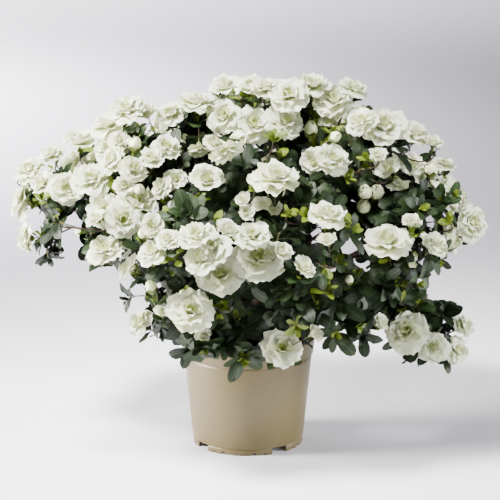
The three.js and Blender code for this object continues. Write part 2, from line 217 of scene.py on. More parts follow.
def reliefGroup():  # soft mottling and a fine relief for anything grown or moulded
    group = bpy.data.node_groups.new("fineRelief", "ShaderNodeTree")
    sockets = group.interface
    for name, value in reliefSize["inputs"]:
        sockets.new_socket(name=name, in_out="INPUT", socket_type="NodeSocketFloat").default_value = value
    for name, share in reliefSize["outputs"]:
        sockets.new_socket(name=name, in_out="OUTPUT", socket_type="NodeSocketFloat")
    nodes, links = group.nodes, group.links
    given, out = nodes.new("NodeGroupInput"), nodes.new("NodeGroupOutput")
    place, stretch = nodes.new("ShaderNodeTexCoord"), nodes.new("ShaderNodeCombineXYZ")
    moved = nodes.new("ShaderNodeVectorMath")
    moved.operation = "MULTIPLY"
    for axis in "XY":
        stretch.inputs[axis].default_value = 1
    links.new(given.outputs["Stretch"], stretch.inputs["Z"])
    links.new(place.outputs["Object"], moved.inputs[0])
    links.new(stretch.outputs["Vector"], moved.inputs[1])
    for name, share in reliefSize["outputs"]:
        cloud, scale = nodes.new("ShaderNodeTexNoise"), nodes.new("ShaderNodeMath")
        scale.operation = "MULTIPLY"
        scale.inputs[1].default_value = share
        cloud.inputs["Detail"].default_value = reliefSize["detail"]
        links.new(given.outputs["Scale"], scale.inputs[0])
        links.new(scale.outputs["Value"], cloud.inputs["Scale"])
        links.new(given.outputs["Roughness"], cloud.inputs["Roughness"])
        links.new(moved.outputs["Vector"], cloud.inputs["Vector"])
        links.new(cloud.outputs["Fac"], out.inputs[name])
    return group


relief = reliefGroup()


def surface(name, dark, light, scale=150, stretch=1, bump=0.2, depth=0.0004, rough=0.6, through=None,
            **values):
    # A Principled finish whose colour wanders between two tones. through is a colour and a share of light
    # that comes from behind. Any other value goes to the shader's input of that name.
    material = bpy.data.materials.new(name)
    material.use_nodes = True
    nodes, links = material.node_tree.nodes, material.node_tree.links
    shader = nodes["Principled BSDF"]
    grain = nodes.new("ShaderNodeGroup")
    grain.node_tree = relief
    grain.inputs["Scale"].default_value = scale
    grain.inputs["Stretch"].default_value = stretch
    raised = nodes.new("ShaderNodeBump")
    raised.inputs["Strength"].default_value = bump
    raised.inputs["Distance"].default_value = depth
    links.new(grain.outputs["Height"], raised.inputs["Height"])
    links.new(raised.outputs["Normal"], shader.inputs["Normal"])
    if dark == light:
        shader.inputs["Base Color"].default_value = (*light, 1)
    else:
        span, tones = nodes.new("ShaderNodeMapRange"), nodes.new("ShaderNodeMix")
        tones.data_type = "RGBA"
        span.inputs["From Min"].default_value, span.inputs["From Max"].default_value = reliefSize["span"]
        tones.inputs["A"].default_value = (*dark, 1)
        tones.inputs["B"].default_value = (*light, 1)
        links.new(grain.outputs["Mottle"], span.inputs["Value"])
        links.new(span.outputs["Result"], tones.inputs["Factor"])
        links.new(tones.outputs["Result"], shader.inputs["Base Color"])
    shader.inputs["Roughness"].default_value = rough
    for socket, value in values.items():
        shader.inputs[socket.replace("_", " ")].default_value = value
    if through:
        glow, both = nodes.new("ShaderNodeBsdfTranslucent"), nodes.new("ShaderNodeMixShader")
        glow.inputs["Color"].default_value = (*through[:3], 1)
        both.inputs["Fac"].default_value = through[3]
        links.new(raised.outputs["Normal"], glow.inputs["Normal"])
        links.new(shader.outputs["BSDF"], both.inputs[1])
        links.new(glow.outputs["BSDF"], both.inputs[2])
        links.new(both.outputs["Shader"], nodes["Material Output"].inputs["Surface"])
    return material


petalTones = {
    "white": {"colour": (0.755, 0.77, 0.64), "through": (0.70, 0.77, 0.42, 0.28)},
    "cream": {"colour": (0.73, 0.76, 0.50), "through": (0.64, 0.72, 0.28, 0.28)},
    "heart": {"colour": (0.60, 0.66, 0.25), "through": (0.52, 0.62, 0.14, 0.28)},
}
petalMaterials = {
    tone: surface(f"petal_{tone}", look["colour"], look["colour"], scale=420, bump=0.12,
                  rough=0.55, through=look["through"], Specular_IOR_Level=0.3)
    for tone, look in petalTones.items()
}
# The dark tone is also painted shade: every spray deep in the crown takes it.
leafTones = {
    "dark": {"dark": (0.0045, 0.010, 0.0028), "light": (0.008, 0.017, 0.0045), "rib": (0.016, 0.03, 0.009)},
    "mid": {"dark": (0.0085, 0.017, 0.0042), "light": (0.0145, 0.029, 0.007), "rib": (0.026, 0.045, 0.013)},
    "fresh": {"dark": (0.010, 0.024, 0.006), "light": (0.017, 0.038, 0.0085), "rib": (0.03, 0.055, 0.016)},
    "young": {"dark": (0.055, 0.085, 0.006), "light": (0.125, 0.175, 0.013), "rib": (0.15, 0.19, 0.02)},
}
leafMaterials = {
    tone: (
        surface(f"leaf_{tone}", look["dark"], look["light"], scale=500, bump=0.35, depth=0.0003,
                rough=0.5, Specular_IOR_Level=0.22),
        surface(f"rib_{tone}", look["rib"], look["rib"], scale=500, bump=0.1, rough=0.5,
                Specular_IOR_Level=0.3),
    )
    for tone, look in leafTones.items()
}
budMaterial = surface("bud_cream", (0.66, 0.73, 0.38), (0.82, 0.86, 0.58), scale=300, bump=0.25, rough=0.5)
sepalMaterial = surface("sepal_lime", (0.06, 0.085, 0.005), (0.11, 0.14, 0.01), scale=400, bump=0.2,
                        rough=0.5)
shootMaterial = surface("shoot_green", (0.07, 0.06, 0.015), (0.12, 0.12, 0.03), scale=300, bump=0.3,
                        rough=0.6)
barkMaterial = surface("bark_brown", (0.035, 0.02, 0.011), (0.085, 0.053, 0.03), scale=420, stretch=0.3,
                       bump=0.8, depth=0.0012, rough=0.85)
twigMaterial = surface("twig_brown", (0.028, 0.014, 0.008), (0.058, 0.03, 0.016), scale=500, stretch=0.5,
                       bump=0.5, rough=0.75)
potMaterial = surface("pot_beige", (0.088, 0.0658, 0.0213), (0.096, 0.0717, 0.0238), scale=900, bump=0.12,
                      depth=0.0002, rough=0.42, Specular_IOR_Level=0.45)
compostMaterial = surface("compost_dark", (0.012, 0.008, 0.006), (0.05, 0.032, 0.022), scale=900, bump=1.0,
                          depth=0.001, rough=0.95)
print("materials ready")


# The pot: a spun wall with its collar, and a foot ring of four notched feet

potSize = {
    "height": 120, "rim": 73.5, "collar": 19, "wallTop": 70, "foot": 60.9, "footHeight": 6.6,
    "footInset": 0.8, "footWidth": 3, "wall": 1.8, "bed": 58.6, "steps": 160,
}
# From the middle of the floor out, up the wall, over the rim and back inside: a radius and how far past
# it, then a height and how far above it
potOutline = (
    ("axis", 0, "footHeight", 0), ("foot", -3.5, "footHeight", 0), ("foot", -0.9, "footHeight", 0),
    ("foot", -0.2, "footHeight", 0.4), ("foot", 0, "footHeight", 1.3), ("wallTop", -0.15, "collarFoot", -3.0),
    ("wallTop", -0.25, "collarFoot", -2.4), ("wallTop", -0.9, "collarFoot", -1.7),
    ("wallTop", -1.0, "collarFoot", -0.4), ("wallTop", -0.7, "collarFoot", 0),
    ("wallTop", 1.1, "collarFoot", 0.2), ("wallTop", 1.45, "collarFoot", 0.5),
    ("wallTop", 1.6, "collarFoot", 1.2), ("rim", -0.12, "height", -2.2), ("rim", 0, "height", -1.0),
    ("rim", -0.35, "height", -0.25), ("rim", -0.9, "height", 0), ("inside", 0.8, "height", 0),
    ("inside", 0.2, "height", -0.4), ("inside", 0, "height", -1.2), ("bed", 1.5, "bedHeight", 0.2),
    ("bed", 0, "bedHeight", 0), ("axis", 0, "bedHeight", 0),
)
footSize = {"count": 4, "firstTurn": -10, "gap": 18, "notches": (-26.5, -16, 0, 16, 26.5),
            "radii": (1.9, 2.6, 1.9, 2.6, 1.9), "columns": 150, "rows": 3, "bury": 0.3}


def spunPot():
    at = dict(potSize, axis=0, collarFoot=potSize["height"] - potSize["collar"],
              inside=potSize["rim"] - 2 * potSize["wall"] + 1,
              bedHeight=potSize["footHeight"] + potSize["wall"])
    return spun([(at[radius] + out, at[height] + up) for radius, out, height, up in potOutline],
                potSize["steps"])


def notchHeight(offset):  # how high the foot is cut away at this angle from its middle
    radius = potSize["foot"] - potSize["footInset"]
    cut = 0.0
    for middle, size in zip(footSize["notches"], footSize["radii"]):
        across = math.radians(offset - middle) * radius / size
        if abs(across) < 1:
            cut = max(cut, size * math.sqrt(1 - across * across))
    return cut


def addFoot(bm, turn):  # one foot of the ring, its top just inside the pot's floor
    half = 180 / footSize["count"] - footSize["gap"] / 2
    outer = potSize["foot"] - potSize["footInset"]
    grid = bmesh.ops.create_grid(bm, x_segments=footSize["columns"], y_segments=footSize["rows"],
                                 size=1)["verts"]
    for vert in grid:
        offset, share = vert.co.x * half, (vert.co.y + 1) / 2
        low = notchHeight(offset)
        height = low + (potSize["footHeight"] + footSize["bury"] - low) * share
        place = direction(turn + offset, 0) * outer
        vert.co = (place[0] * metre, place[1] * metre, height * metre)
    faces = list({face for vert in grid for face in vert.link_faces})
    bmesh.ops.recalc_face_normals(bm, faces=faces)
    bmesh.ops.solidify(bm, geom=faces, thickness=potSize["footWidth"] * metre)


potBm = spunPot()
for foot in range(footSize["count"]):
    addFoot(potBm, footSize["firstTurn"] + foot * 360 / footSize["count"])
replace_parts(fromBmesh("potShell", potBm, [potMaterial], "pot"), "pot")
print("pot ready")


# The compost: a lumpy top inside the pot, with loose crumbs on it

compostSize = {"top": 107.2, "radius": 69.2, "depth": 12, "narrowing": 0.99, "rings": 26, "steps": 120,
               "relief": 1.6, "lumps": (90, 240), "fineShare": 0.6, "crumbs": 900, "seed": 5,
               "crumb": ((0.7, 2.2), (0.7, 1.9), (0.5, 1.2)), "crumbLift": (-0.3, 0.9)}


def compostPlug():
    size = compostSize
    profile = [(size["radius"] * i / size["rings"], size["top"]) for i in range(size["rings"] + 1)]
    profile.append((size["radius"] * size["narrowing"], size["top"] - size["depth"]))
    bm = spun(profile, size["steps"])
    for vert in bm.verts:
        if vert.co.z > (size["top"] - 1) * metre:
            coarse, fine = (noise.noise(vert.co * scale) for scale in size["lumps"])
            vert.co.z += (coarse + size["fineShare"] * fine) * size["relief"] * metre
    return bm


def crumbs():
    bm = bmesh.new()
    bmesh.ops.create_icosphere(bm, subdivisions=1, radius=1)
    shape, size = asShape(bm), compostSize
    roll = dice(size["seed"])
    copies = []
    for i in range(size["crumbs"]):
        reach = (size["radius"] - 2) * math.sqrt(roll(0.03, 1))
        spot = direction(roll(0, 360), 0) * reach + np.array((0, 0, size["top"] + roll(*size["crumbLift"])))
        lump = shape["points"] * np.array([roll(*span) for span in size["crumb"]])
        copies.append(standing(lump, spot, direction(roll(0, 360), roll(20, 90))))
    joined("compostCrumbs", shape, copies, [compostMaterial], "compost")


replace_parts(fromBmesh("compostPlug", compostPlug(), [compostMaterial], "compost"), "compost")
crumbs()
print("compost ready")


# Growth rule of the shrub, the same as in its solids

clearance = 0.3
trunkSize = {"foot": 108.3, "forkHeight": 154, "lean": 3, "flare": 13, "waist": 8.2, "waistShare": 0.42,
             "neck": 7.4, "forkRadius": 10.5}
fork = np.array((trunkSize["lean"], 0.0, trunkSize["forkHeight"]))
depthShare = 0.84
knuckleRadius = 4.4
leastStemAngle = math.radians(41)
knuckleSize = {"seat": 0.96, "rounds": 60, "push": 0.12, "fromLimb": 1.2}
stemSize = {"foot": 1.7, "tip": 1.5, "fork": 0.4, "elbow": 0.45}
waySteps = 12  # straight pieces that each limb and stem is measured by
rooms = {"pot": 3, "space": 0.5, "twig": 2.5, "whorl": 3.2, "bloom": 3}  # kept free round a spray
hubRooms = {"blooms": 1.45, "others": 0.95}  # between two sprays, in radii of a bloom
limbTiers = {
    "leader": {"count": 3, "firstTurn": 60, "reach": 44, "height": 262, "lift": 68, "foot": 2.9, "tip": 2.2},
    "bough": {"count": 6, "firstTurn": 20, "reach": 104, "height": 208, "lift": 27, "foot": 3.4, "tip": 2.4},
}
tierWords = ("count", "firstTurn", "reach", "height", "lift", "limb", "wide", "tall", "deep", "blooms",
             "whorls")
foliageTiers = {
    "crest": (3, 60, 54, 362, 70, "leader", 46, 44, 46, 3, 1),
    "upper": (7, 0, 140, 326, 48, "leader", 52, 38, 46, 3, 2),
    "middle": (10, 18, 204, 264, 17, "bough", 52, 34, 44, 3, 2),
    "lower": (8, 22.5, 168, 201, -2, "bough", 50, 32, 40, 2, 3),
    "skirt": (6, 20, 106, 152, -20, "bough", 44, 28, 34, 1, 3),
}
habits = {
    "crest_1": {"height": 14}, "crest_3": {"height": -5}, "upper_2": {"height": 8}, "upper_3": {"height": 8},
    "upper_5": {"height": -10}, "upper_6": {"height": -14}, "upper_7": {"height": -8},
    "middle_1": {"reach": -4}, "middle_3": {"height": -14}, "middle_5": {"reach": 4},
    "middle_6": {"reach": 4}, "middle_8": {"height": 14}, "middle_10": {"reach": -4},
    "lower_2": {"height": -14}, "lower_6": {"height": 30, "tall": -8}, "lower_7": {"height": 36, "tall": -12},
    "skirt_1": {"turn": -4, "reach": -14, "height": -8}, "skirt_2": {"reach": 84, "height": -12, "blooms": 2},
    "skirt_5": {"reach": -14, "height": 14}, "skirt_6": {"turn": 12},
}
bloomSize = {"radius": 23.5, "notch": 0.78, "tube": 13, "rise": 6, "heart": 0.46, "petals": 5}
leavesPerWhorl = 4
sprayRule = {"first": 0.9, "scale": (0.86, 1.1), "whorlDepth": 0.94, "outward": 0.9, "bloomRise": 0.3,
             "whorlRise": 0.1, "sunk": 0.55, "elbow": 0.45}
capAngle = math.radians(74)
goldenTurn = 137.508
pullShares = (1, 0.85, 0.7, 0.55, 0.4)


def placeAt(turn, reach, height):
    level = direction(turn, 0)
    return np.array((level[0] * reach, level[1] * reach * depthShare, height))


def planLimbs():
    limbs = []
    for tier, size in limbTiers.items():
        for i in range(size["count"]):
            turn = size["firstTurn"] + i * 360 / size["count"]
            leave = direction(turn, size["lift"])
            foot = fork + leave * (trunkSize["forkRadius"] + clearance)
            knuckle = placeAt(turn, size["reach"], size["height"])
            elbow = foot + leave * np.linalg.norm(foot - knuckle) * 0.5
            limbs.append({"name": f"{tier}_{i + 1}", "tier": tier, "size": size, "knuckle": knuckle,
                          "curve": (foot, elbow, knuckle), "masses": []})
    return limbs


def planMasses(limbs):
    masses = []
    for tier, values in foliageTiers.items():
        tierSize = dict(zip(tierWords, values))
        for i in range(tierSize["count"]):
            name = f"{tier}_{i + 1}"
            size = dict(tierSize, turn=tierSize["firstTurn"] + i * 360 / tierSize["count"])
            for key, change in habits.get(name, {}).items():
                size[key] += change
            centre = placeAt(size["turn"], size["reach"], size["height"])
            same = [limb for limb in limbs if limb["tier"] == size["limb"]]
            limb = min(same, key=lambda each: np.linalg.norm(each["knuckle"] - centre))
            mass = {"name": name, "tier": tier, "size": size, "centre": centre, "limb": limb,
                    "outward": direction(size["turn"], size["lift"]), "seed": len(masses) + 1}
            limb["masses"].append(mass)
            masses.append(mass)
    for limb in limbs:
        shareKnuckle(limb)
    for mass in masses:
        planStem(mass)
    return masses


def angleBetween(a, b):
    return math.acos(max(-1, min(1, a @ b / np.linalg.norm(a) / np.linalg.norm(b))))


def shareKnuckle(limb):  # stems that share a knuckle lean apart
    elbow, knuckle = limb["curve"][1:]
    back = unit(elbow - knuckle)
    leaving = [unit(mass["centre"] - knuckle) for mass in limb["masses"]]
    for turn in range(knuckleSize["rounds"]):
        for i, leave in enumerate(leaving):
            push = np.zeros(3)
            for j, other in enumerate(leaving):
                if i != j and angleBetween(leave, other) < leastStemAngle:
                    push += leave - other
            if angleBetween(leave, back) < leastStemAngle * knuckleSize["fromLimb"]:
                push += leave - back
            leaving[i] = unit(leave + push * knuckleSize["push"])
    for mass, leave in zip(limb["masses"], leaving):
        mass["leave"] = leave


def planStem(mass):
    foot = mass["limb"]["knuckle"] + mass["leave"] * (knuckleSize["seat"] * knuckleRadius + clearance)
    mass["fork"] = mass["centre"] - mass["outward"] * stemSize["fork"] * mass["size"]["deep"]
    elbow = foot + mass["leave"] * np.linalg.norm(foot - mass["fork"]) * stemSize["elbow"]
    mass["stem"] = (foot, elbow, mass["fork"])


limbs = planLimbs()
masses = planMasses(limbs)
centres = np.array([mass["centre"] for mass in masses])


def wayPieces():  # every limb and stem as short straight pieces: start, end, radius and owner
    starts, ends, radii, owners = [], [], [], []
    ways = [(limb["name"], limb["curve"], limb["size"]["foot"], knuckleRadius) for limb in limbs]
    ways += [(mass["name"], mass["stem"], stemSize["foot"], stemSize["tip"]) for mass in masses]
    for name, curve, foot, tip in ways:
        share = np.arange(waySteps + 1) / waySteps
        points = bezier(curve, share)
        starts.append(points[:-1])
        ends.append(points[1:])
        radii.append(foot + (tip - foot) * share[:-1])
        owners += [name] * waySteps
    return np.concatenate(starts), np.concatenate(ends), np.concatenate(radii), np.array(owners)


wayStarts, wayEnds, wayRadii, wayOwners = wayPieces()


def clearOfLimbs(name, points, room):
    other = wayOwners != name
    start, step = wayStarts[other], (wayEnds - wayStarts)[other]
    to = points[:, None, :] - start[None]
    share = np.clip((to * step).sum(2) / (step * step).sum(1), 0, 1)
    gap = np.linalg.norm(to - share[..., None] * step, axis=2)
    return bool((gap >= wayRadii[other] + room).all())


def clearOfPot(points):
    off = np.hypot(points[:, 0], points[:, 1]) - potSize["rim"]
    return bool(((points[:, 2] > potSize["height"] + rooms["pot"]) | (off > rooms["pot"])).all())


def inOwnSpace(mass, points, margin):
    near = ((points - mass["centre"]) ** 2).sum(1)[:, None]
    lead = ((points[:, None, :] - centres[None]) ** 2).sum(2) - near
    apart = np.linalg.norm(centres - mass["centre"], axis=1)
    return bool(((lead > 2 * margin * apart) | (apart == 0)).all())


def fits(mass, points, room):
    return (clearOfPot(points) and inOwnSpace(mass, points, rooms["space"])
            and clearOfLimbs(mass["name"], points, room))


def bloomCorners(scale):  # of the rule's bloom: a scalloped edge, a raised heart and its two ends
    size = bloomSize
    points = []
    for i in range(2 * size["petals"]):
        reach = size["radius"] * scale * (size["notch"] if i % 2 else 1)
        turn = i * math.pi / size["petals"]
        points.append((reach * math.cos(turn), reach * math.sin(turn), 2 * scale if i % 2 else 0))
    for i in range(size["petals"]):
        reach, turn = size["radius"] * size["heart"] * scale, (2 * i + 1) * math.pi / size["petals"]
        points.append((reach * math.cos(turn), reach * math.sin(turn), size["rise"] * scale))
    points += [(0, 0, size["rise"] * 0.6 * scale), (0, 0, -size["tube"] * scale)]
    return np.array(points)


def twigTo(mass, spray):
    start = mass["fork"]
    sunk = bloomSize["tube"] * sprayRule["sunk"] * spray["size"] if spray["blooming"] else 0
    end = spray["hub"] - spray["axis"] * sunk
    reach = np.linalg.norm(end - start)
    heading = unit(unit(end - start) + mass["outward"])
    return start, start + heading * reach * sprayRule["elbow"], end


def sprayFits(mass, spray):
    if not fits(mass, bezier(twigTo(mass, spray), np.array((0.3, 0.5, 0.7, 0.9))), rooms["twig"]):
        return False
    if not spray["blooming"]:
        return fits(mass, spray["hub"][None], rooms["whorl"])
    points = standing(bloomCorners(spray["size"]), spray["hub"], spray["axis"])
    return fits(mass, np.concatenate((points, (points + spray["hub"]) / 2)), rooms["bloom"])


def roomBetween(spray, others):
    for other in others:
        pair = "blooms" if spray["blooming"] and other["blooming"] else "others"
        room = bloomSize["radius"] * hubRooms[pair]
        if np.linalg.norm(spray["hub"] - other["hub"]) <= room * spray["size"]:
            return False
    return True


def shellSpot(mass, slope, around, out, aside):  # a point on a mass, by its slope from where the mass faces
    size = mass["size"]
    level, rising = squareTo(mass["outward"])
    spot = mass["centre"] + mass["outward"] * size["deep"] * math.cos(slope) * out
    spot = spot + level * size["wide"] * aside * math.sin(slope) * math.cos(around)
    return spot + rising * size["tall"] * aside * math.sin(slope) * math.sin(around)


def planSprays(mass):
    roll, rule = dice(mass["seed"]), sprayRule
    size = mass["size"]
    count = size["blooms"] + size["whorls"]
    startTurn = roll(0, 360)
    sprays = []
    for i in range(count):
        around = math.radians(startTurn + i * goldenTurn)
        slope = capAngle * math.sqrt((i + rule["first"]) / count)
        scale = roll(*rule["scale"])
        blooming = i < size["blooms"]
        for draw in range(1 + 3 * leavesPerWhorl):
            roll(0, 1)  # the solids draw their leaves here
        for pull in pullShares:
            hub = shellSpot(mass, slope, around, 1 if blooming else rule["whorlDepth"], pull)
            axis = unit(hub - mass["fork"]) + mass["outward"] * rule["outward"]
            axis[2] += rule["bloomRise"] if blooming else rule["whorlRise"]
            spray = {"hub": hub, "axis": unit(axis), "size": scale, "blooming": blooming}
            if roomBetween(spray, sprays) and sprayFits(mass, spray):
                sprays.append(spray)
                break
    return sprays


for mass in masses:
    mass["sprays"] = planSprays(mass)
print("growth rule:", sum(len(mass["sprays"]) for mass in masses), "sprays,",
      sum(spray["blooming"] for mass in masses for spray in mass["sprays"]), "of them in flower")


# The camera, and the line of sight through a point of its picture

sight = {"distance": 2600, "lift": 13.5, "lens": 172.5, "target": (2.2, 0.0, 214.8), "farthest": 50}
sightTarget = np.array(sight["target"])
toCamera = direction(0, sight["lift"])
pictureRight = np.array((1.0, 0.0, 0.0))
pictureUp = np.cross(toCamera, pictureRight)
cameraSpot = sightTarget + toCamera * sight["distance"]

camera = placed("camera", bpy.data.cameras.new("camera"))
camera.data.lens = sight["lens"]
camera.data.clip_end = sight["farthest"]
camera.location = Vector(cameraSpot * metre)
camera.rotation_euler = Vector(-toCamera).to_track_quat("-Z", "Y").to_euler()
bpy.context.scene.camera = camera


# Where flowers stand: the rule's own places, and those seen on the front

# Each is across, up and width in the picture, then how far it turns from the camera and to which side
frontFlowers = {
    "open": (
        (-57, 161, 43, 65, 0), (-128, 147, 43, 55, -20), (-153, 134, 40, 60, -30),
        (-88, 148, 38, 55, -30), (-106, 142, 29, 60, -20), (-28, 145, 41, 30, -20),
        (4, 135, 48, 25, 10), (0, 176, 38, 62, -10), (38, 140, 43, 35, 30), (16, 177, 34, 60, 0),
        (42, 169, 44, 35, -15), (67, 181, 41, 60, 0), (90, 162, 48, 40, 0), (106, 166, 33, 60, 20),
        (145, 135, 50, 40, 0), (120, 141, 37, 45, -30), (180, 127, 38, 55, 20), (-214, 106, 28, 55, -20),
        (-239, 87, 39, 60, -40), (-226, 72, 33, 45, -60), (-197, 67, 41, 15, 0), (-166, 75, 43, 40, -10),
        (-150, 98, 33, 55, -60), (-125, 89, 33, 40, 40), (-107, 101, 30, 50, 0), (-90, 113, 33, 40, 10),
        (-25, 105, 37, 70, 150), (-97, 69, 28, 50, -60), (-124, 54, 52, 55, -5), (-136, 33, 43, 15, 40),
        (-158, 2, 41, 50, -20), (-244, 12, 35, 78, -95), (-58, 18, 41, 55, -10), (-89, 13, 28, 40, -20),
        (-42, 3, 43, 40, -20), (3, 17, 41, 50, -10), (27, 80, 56, 65, 0), (90, 100, 42, 45, 30),
        (85, 39, 43, 60, 10), (174, 94, 35, 50, 20), (210, 94, 28, 60, 10), (149, 11, 54, 50, -10),
        (202, 8, 35, 60, 40), (241, 30, 48, 50, 70), (10, -7, 56, 25, 0), (-30, -23, 48, 20, 0),
        (-54, -7, 41, 40, -40), (-106, -1, 37, 50, -30), (-64, -64, 49, 25, 0), (35, -104, 47, 20, 10),
        (168, -86, 50, 30, -30), (197, -104, 37, 15, 0), (232, -81, 30, 60, 60), (225, -108, 35, 45, 80),
        (-116, -74, 33, 55, -50),
    ),
    "half": (
        (-27, 177, 33, 55, -15), (199, 118, 24, 60, 10), (-184, 120, 34, 60, 0), (-141, 119, 24, 40, 0),
        (-39, 117, 24, 45, 20), (-55, 107, 22, 70, 180), (-80, 77, 24, 20, 0), (-46, 77, 33, 25, 0),
        (-136, 69, 22, 30, 0), (-167, 35, 22, 50, -40), (-106, 27, 25, 15, 0), (-23, 23, 28, 55, 10),
        (64, 90, 29, 15, -60), (24, 47, 21, 40, 30), (-8, 55, 17, 35, -20), (-4, 41, 18, 20, 0),
        (11, 50, 19, 35, 0),
        (84, 137, 22, 60, 0), (138, 104, 21, 40, -10), (149, 90, 28, 40, -20), (155, 69, 24, 60, 170),
        (175, 31, 24, 55, 5), (35, 0, 24, 50, 40), (84, 12, 22, 60, -10), (-129, -17, 30, 65, -60),
        (-50, -92, 20, 45, 0), (59, -18, 26, 50, 30), (69, -87, 22, 60, 60), (141, -78, 22, 60, 70),
        (-95, -67, 18, 50, 0),
    ),
    "bud": (
        (66, 128, 17, 70, 0), (91, 122, 13, 50, 60), (114, 43, 17, 35, 10), (115, 57, 17, 35, -10),
        (128, 58, 18, 35, 15), (195, 84, 17, 75, 0), (-119, 64, 13, 40, 0), (-125, 114, 15, 50, 20),
        (-116, 17, 12, 40, 0), (107, -33, 10, 50, 0), (-107, -41, 14, 60, -10),
    ),
    "young": (
        (-221, 12, 17, 60, 60), (-224, 55, 20, 50, 0), (-182, 105, 20, 60, 0), (-82, -9, 22, 50, -30),
        (-10, -114, 15, 50, 20), (82, -44, 26, 45, 10), (69, -59, 22, 50, -60), (94, -12, 15, 50, 0),
        (49, -80, 22, 50, 170), (117, -81, 17, 60, 150), (216, 106, 15, 60, 40), (203, 72, 17, 60, 30),
        (166, 63, 15, 50, 0), (175, 17, 17, 60, 0), (216, 28, 20, 60, -60), (104, 27, 17, 50, 20),
        (105, 76, 17, 50, 20), (128, 98, 15, 50, -40), (41, 39, 15, 50, 30), (21, 60, 20, 50, 180),
        (25, 119, 20, 50, 0), (-9, 162, 17, 60, 0), (-146, 64, 15, 50, 0), (-89, 53, 15, 50, 0),
        (-69, 59, 15, 50, 0), (-49, 49, 17, 40, 0), (5, 65, 15, 50, 0), (89, 129, 15, 50, 20),
        (199, 110, 15, 50, 0), (168, -37, 13, 60, 20), (-30, -62, 13, 40, 0),
    ),
    "leaves": (
        (-215, 31, 33, 50, -60), (-180, 15, 26, 60, 160), (-218, -9, 26, 60, 160), (-209, 4, 26, 60, 120),
        (-125, -50, 28, 60, -110), (-95, -87, 28, 60, 180), (-66, -108, 38, 50, -150),
        (-48, -105, 48, 50, 180), (-29, -104, 44, 50, 165), (-8, -117, 44, 45, 165),
        (104, -76, 43, 30, -30), (122, -93, 39, 50, -170), (128, -65, 43, 25, 20), (165, -54, 37, 30, 30),
        (98, -54, 43, 25, 0), (114, -27, 43, 30, 0), (146, -33, 43, 35, 10), (182, -58, 35, 30, 30),
        (210, -67, 35, 40, 20), (174, -13, 39, 50, 150), (195, -9, 35, 60, 160), (233, 11, 30, 60, 160),
        (-15, -74, 43, 30, 0), (-11, -87, 39, 30, 40), (54, -54, 43, 30, 0), (65, -65, 43, 30, -20),
        (43, -38, 39, 35, -20), (-27, -98, 39, 40, -20), (219, 56, 37, 40, 30), (206, 54, 37, 40, -30),
        (54, 63, 39, 35, -10), (69, 51, 37, 40, 20), (20, 108, 37, 40, -20), (46, 48, 35, 40, 0),
        (107, 57, 35, 35, 10),
    ),
}
# The crown's upper and lower edges as the camera sees them: across and up
crownTop = ((-250, 78), (-195, 112), (-141, 146), (-92, 146), (-76, 165), (-40, 184), (16, 182), (54, 192),
            (100, 180), (150, 154), (200, 125), (245, 50))
crownFoot = ((-250, -14), (-215, 2), (-180, 0), (-150, -12), (-134, -28), (-124, -82), (-88, -102),
             (130, -112), (235, -124))
# Gaps in the crown through which the light behind shows: across, up and half width
skyGaps = (
    (111, 0, 8), (105, 4, 7), (69, 12, 6), (66, 2, 5), (74, 20, 4), (195, 34, 4), (198, 46, 4), (196, 26, 4),
    (91, -18, 4), (129, -24, 4), (250, -30, 26), (262, -64, 13), (243, -57, 11), (215, -42, 14),
    (196, -45, 8), (-120, -42, 7), (-117, -60, 5), (-98, -38, 4), (122, -14, 4), (-192, 30, 10),
    (-192, 4, 11), (-233, 34, 8),
)
sightWay = (0.89, 1.05, 161)  # where a line of sight is tried: from and to, in camera distances, and steps


def massFrame(mass):
    level, rising = squareTo(mass["outward"])
    size = mass["size"]
    return level / size["wide"], rising / size["tall"], mass["outward"] / size["deep"]


massFrames = np.array([massFrame(mass) for mass in masses])


def shellShares(points):  # how far out each point lies in each mass, 1 at its shell
    return np.linalg.norm(np.einsum("mij,pmj->pmi", massFrames, points[:, None] - centres[None]), axis=2)


def frontSpot(across, up):
    aim = sightTarget + pictureRight * across + pictureUp * up
    points = cameraSpot + (aim - cameraSpot) * np.linspace(*sightWay)[:, None]
    shares = shellShares(points)
    inside = np.nonzero(shares.min(1) < 1)[0]
    first = inside[0] if len(inside) else shares.min(1).argmin()
    return points[first], masses[shares[first].argmin()]


def pictureOf(points):  # across, up and distance as the camera sees them
    away = points - cameraSpot
    depth = -away @ toCamera
    across, up = (away @ way * sight["distance"] / depth for way in (pictureRight, pictureUp))
    return across, up, depth


def spotOf(hub):  # the same for one point
    return tuple(float(value[0]) for value in pictureOf(hub[None]))


def nearest(points, hub):
    return np.linalg.norm(np.array(points) - hub, axis=1).min()


def hides(hub, front, room):  # whether a spray at this place would stand before a flower of the front
    across, up, depth = pictureOf(hub[None])
    flat = np.hypot(front["across"] - across, front["up"] - up)
    return bool(((flat < front["half"] + room) & (depth < front["depth"] + frontSize["behind"])).any())


def inGap(points, room):  # whether any of these would close a gap that shows the light behind
    across, up, depth = pictureOf(points)
    return any((np.hypot(across - x, up - y) < wide + room).any() for x, y, wide in skyGaps)


def pastTop(points):  # whether any of these would stand out of the crown's upper edge
    across, up, depth = pictureOf(points)
    return bool((up > np.interp(across, *zip(*crownTop)) - frontSize["topRoom"]).any())


def sprayAt(mass, hub, kind, size, lean):  # lean turns the spray towards a direction of its own
    axis = unit(unit(hub - mass["fork"]) + mass["outward"] * sprayRule["outward"] + lean)
    return {"hub": hub, "axis": axis, "size": size, "kind": kind, "mass": mass}


fullWidths = {"open": 45.5, "half": 39, "bud": 13, "young": 22.5, "leaves": 44}
flowerKinds = ("open", "half", "bud")
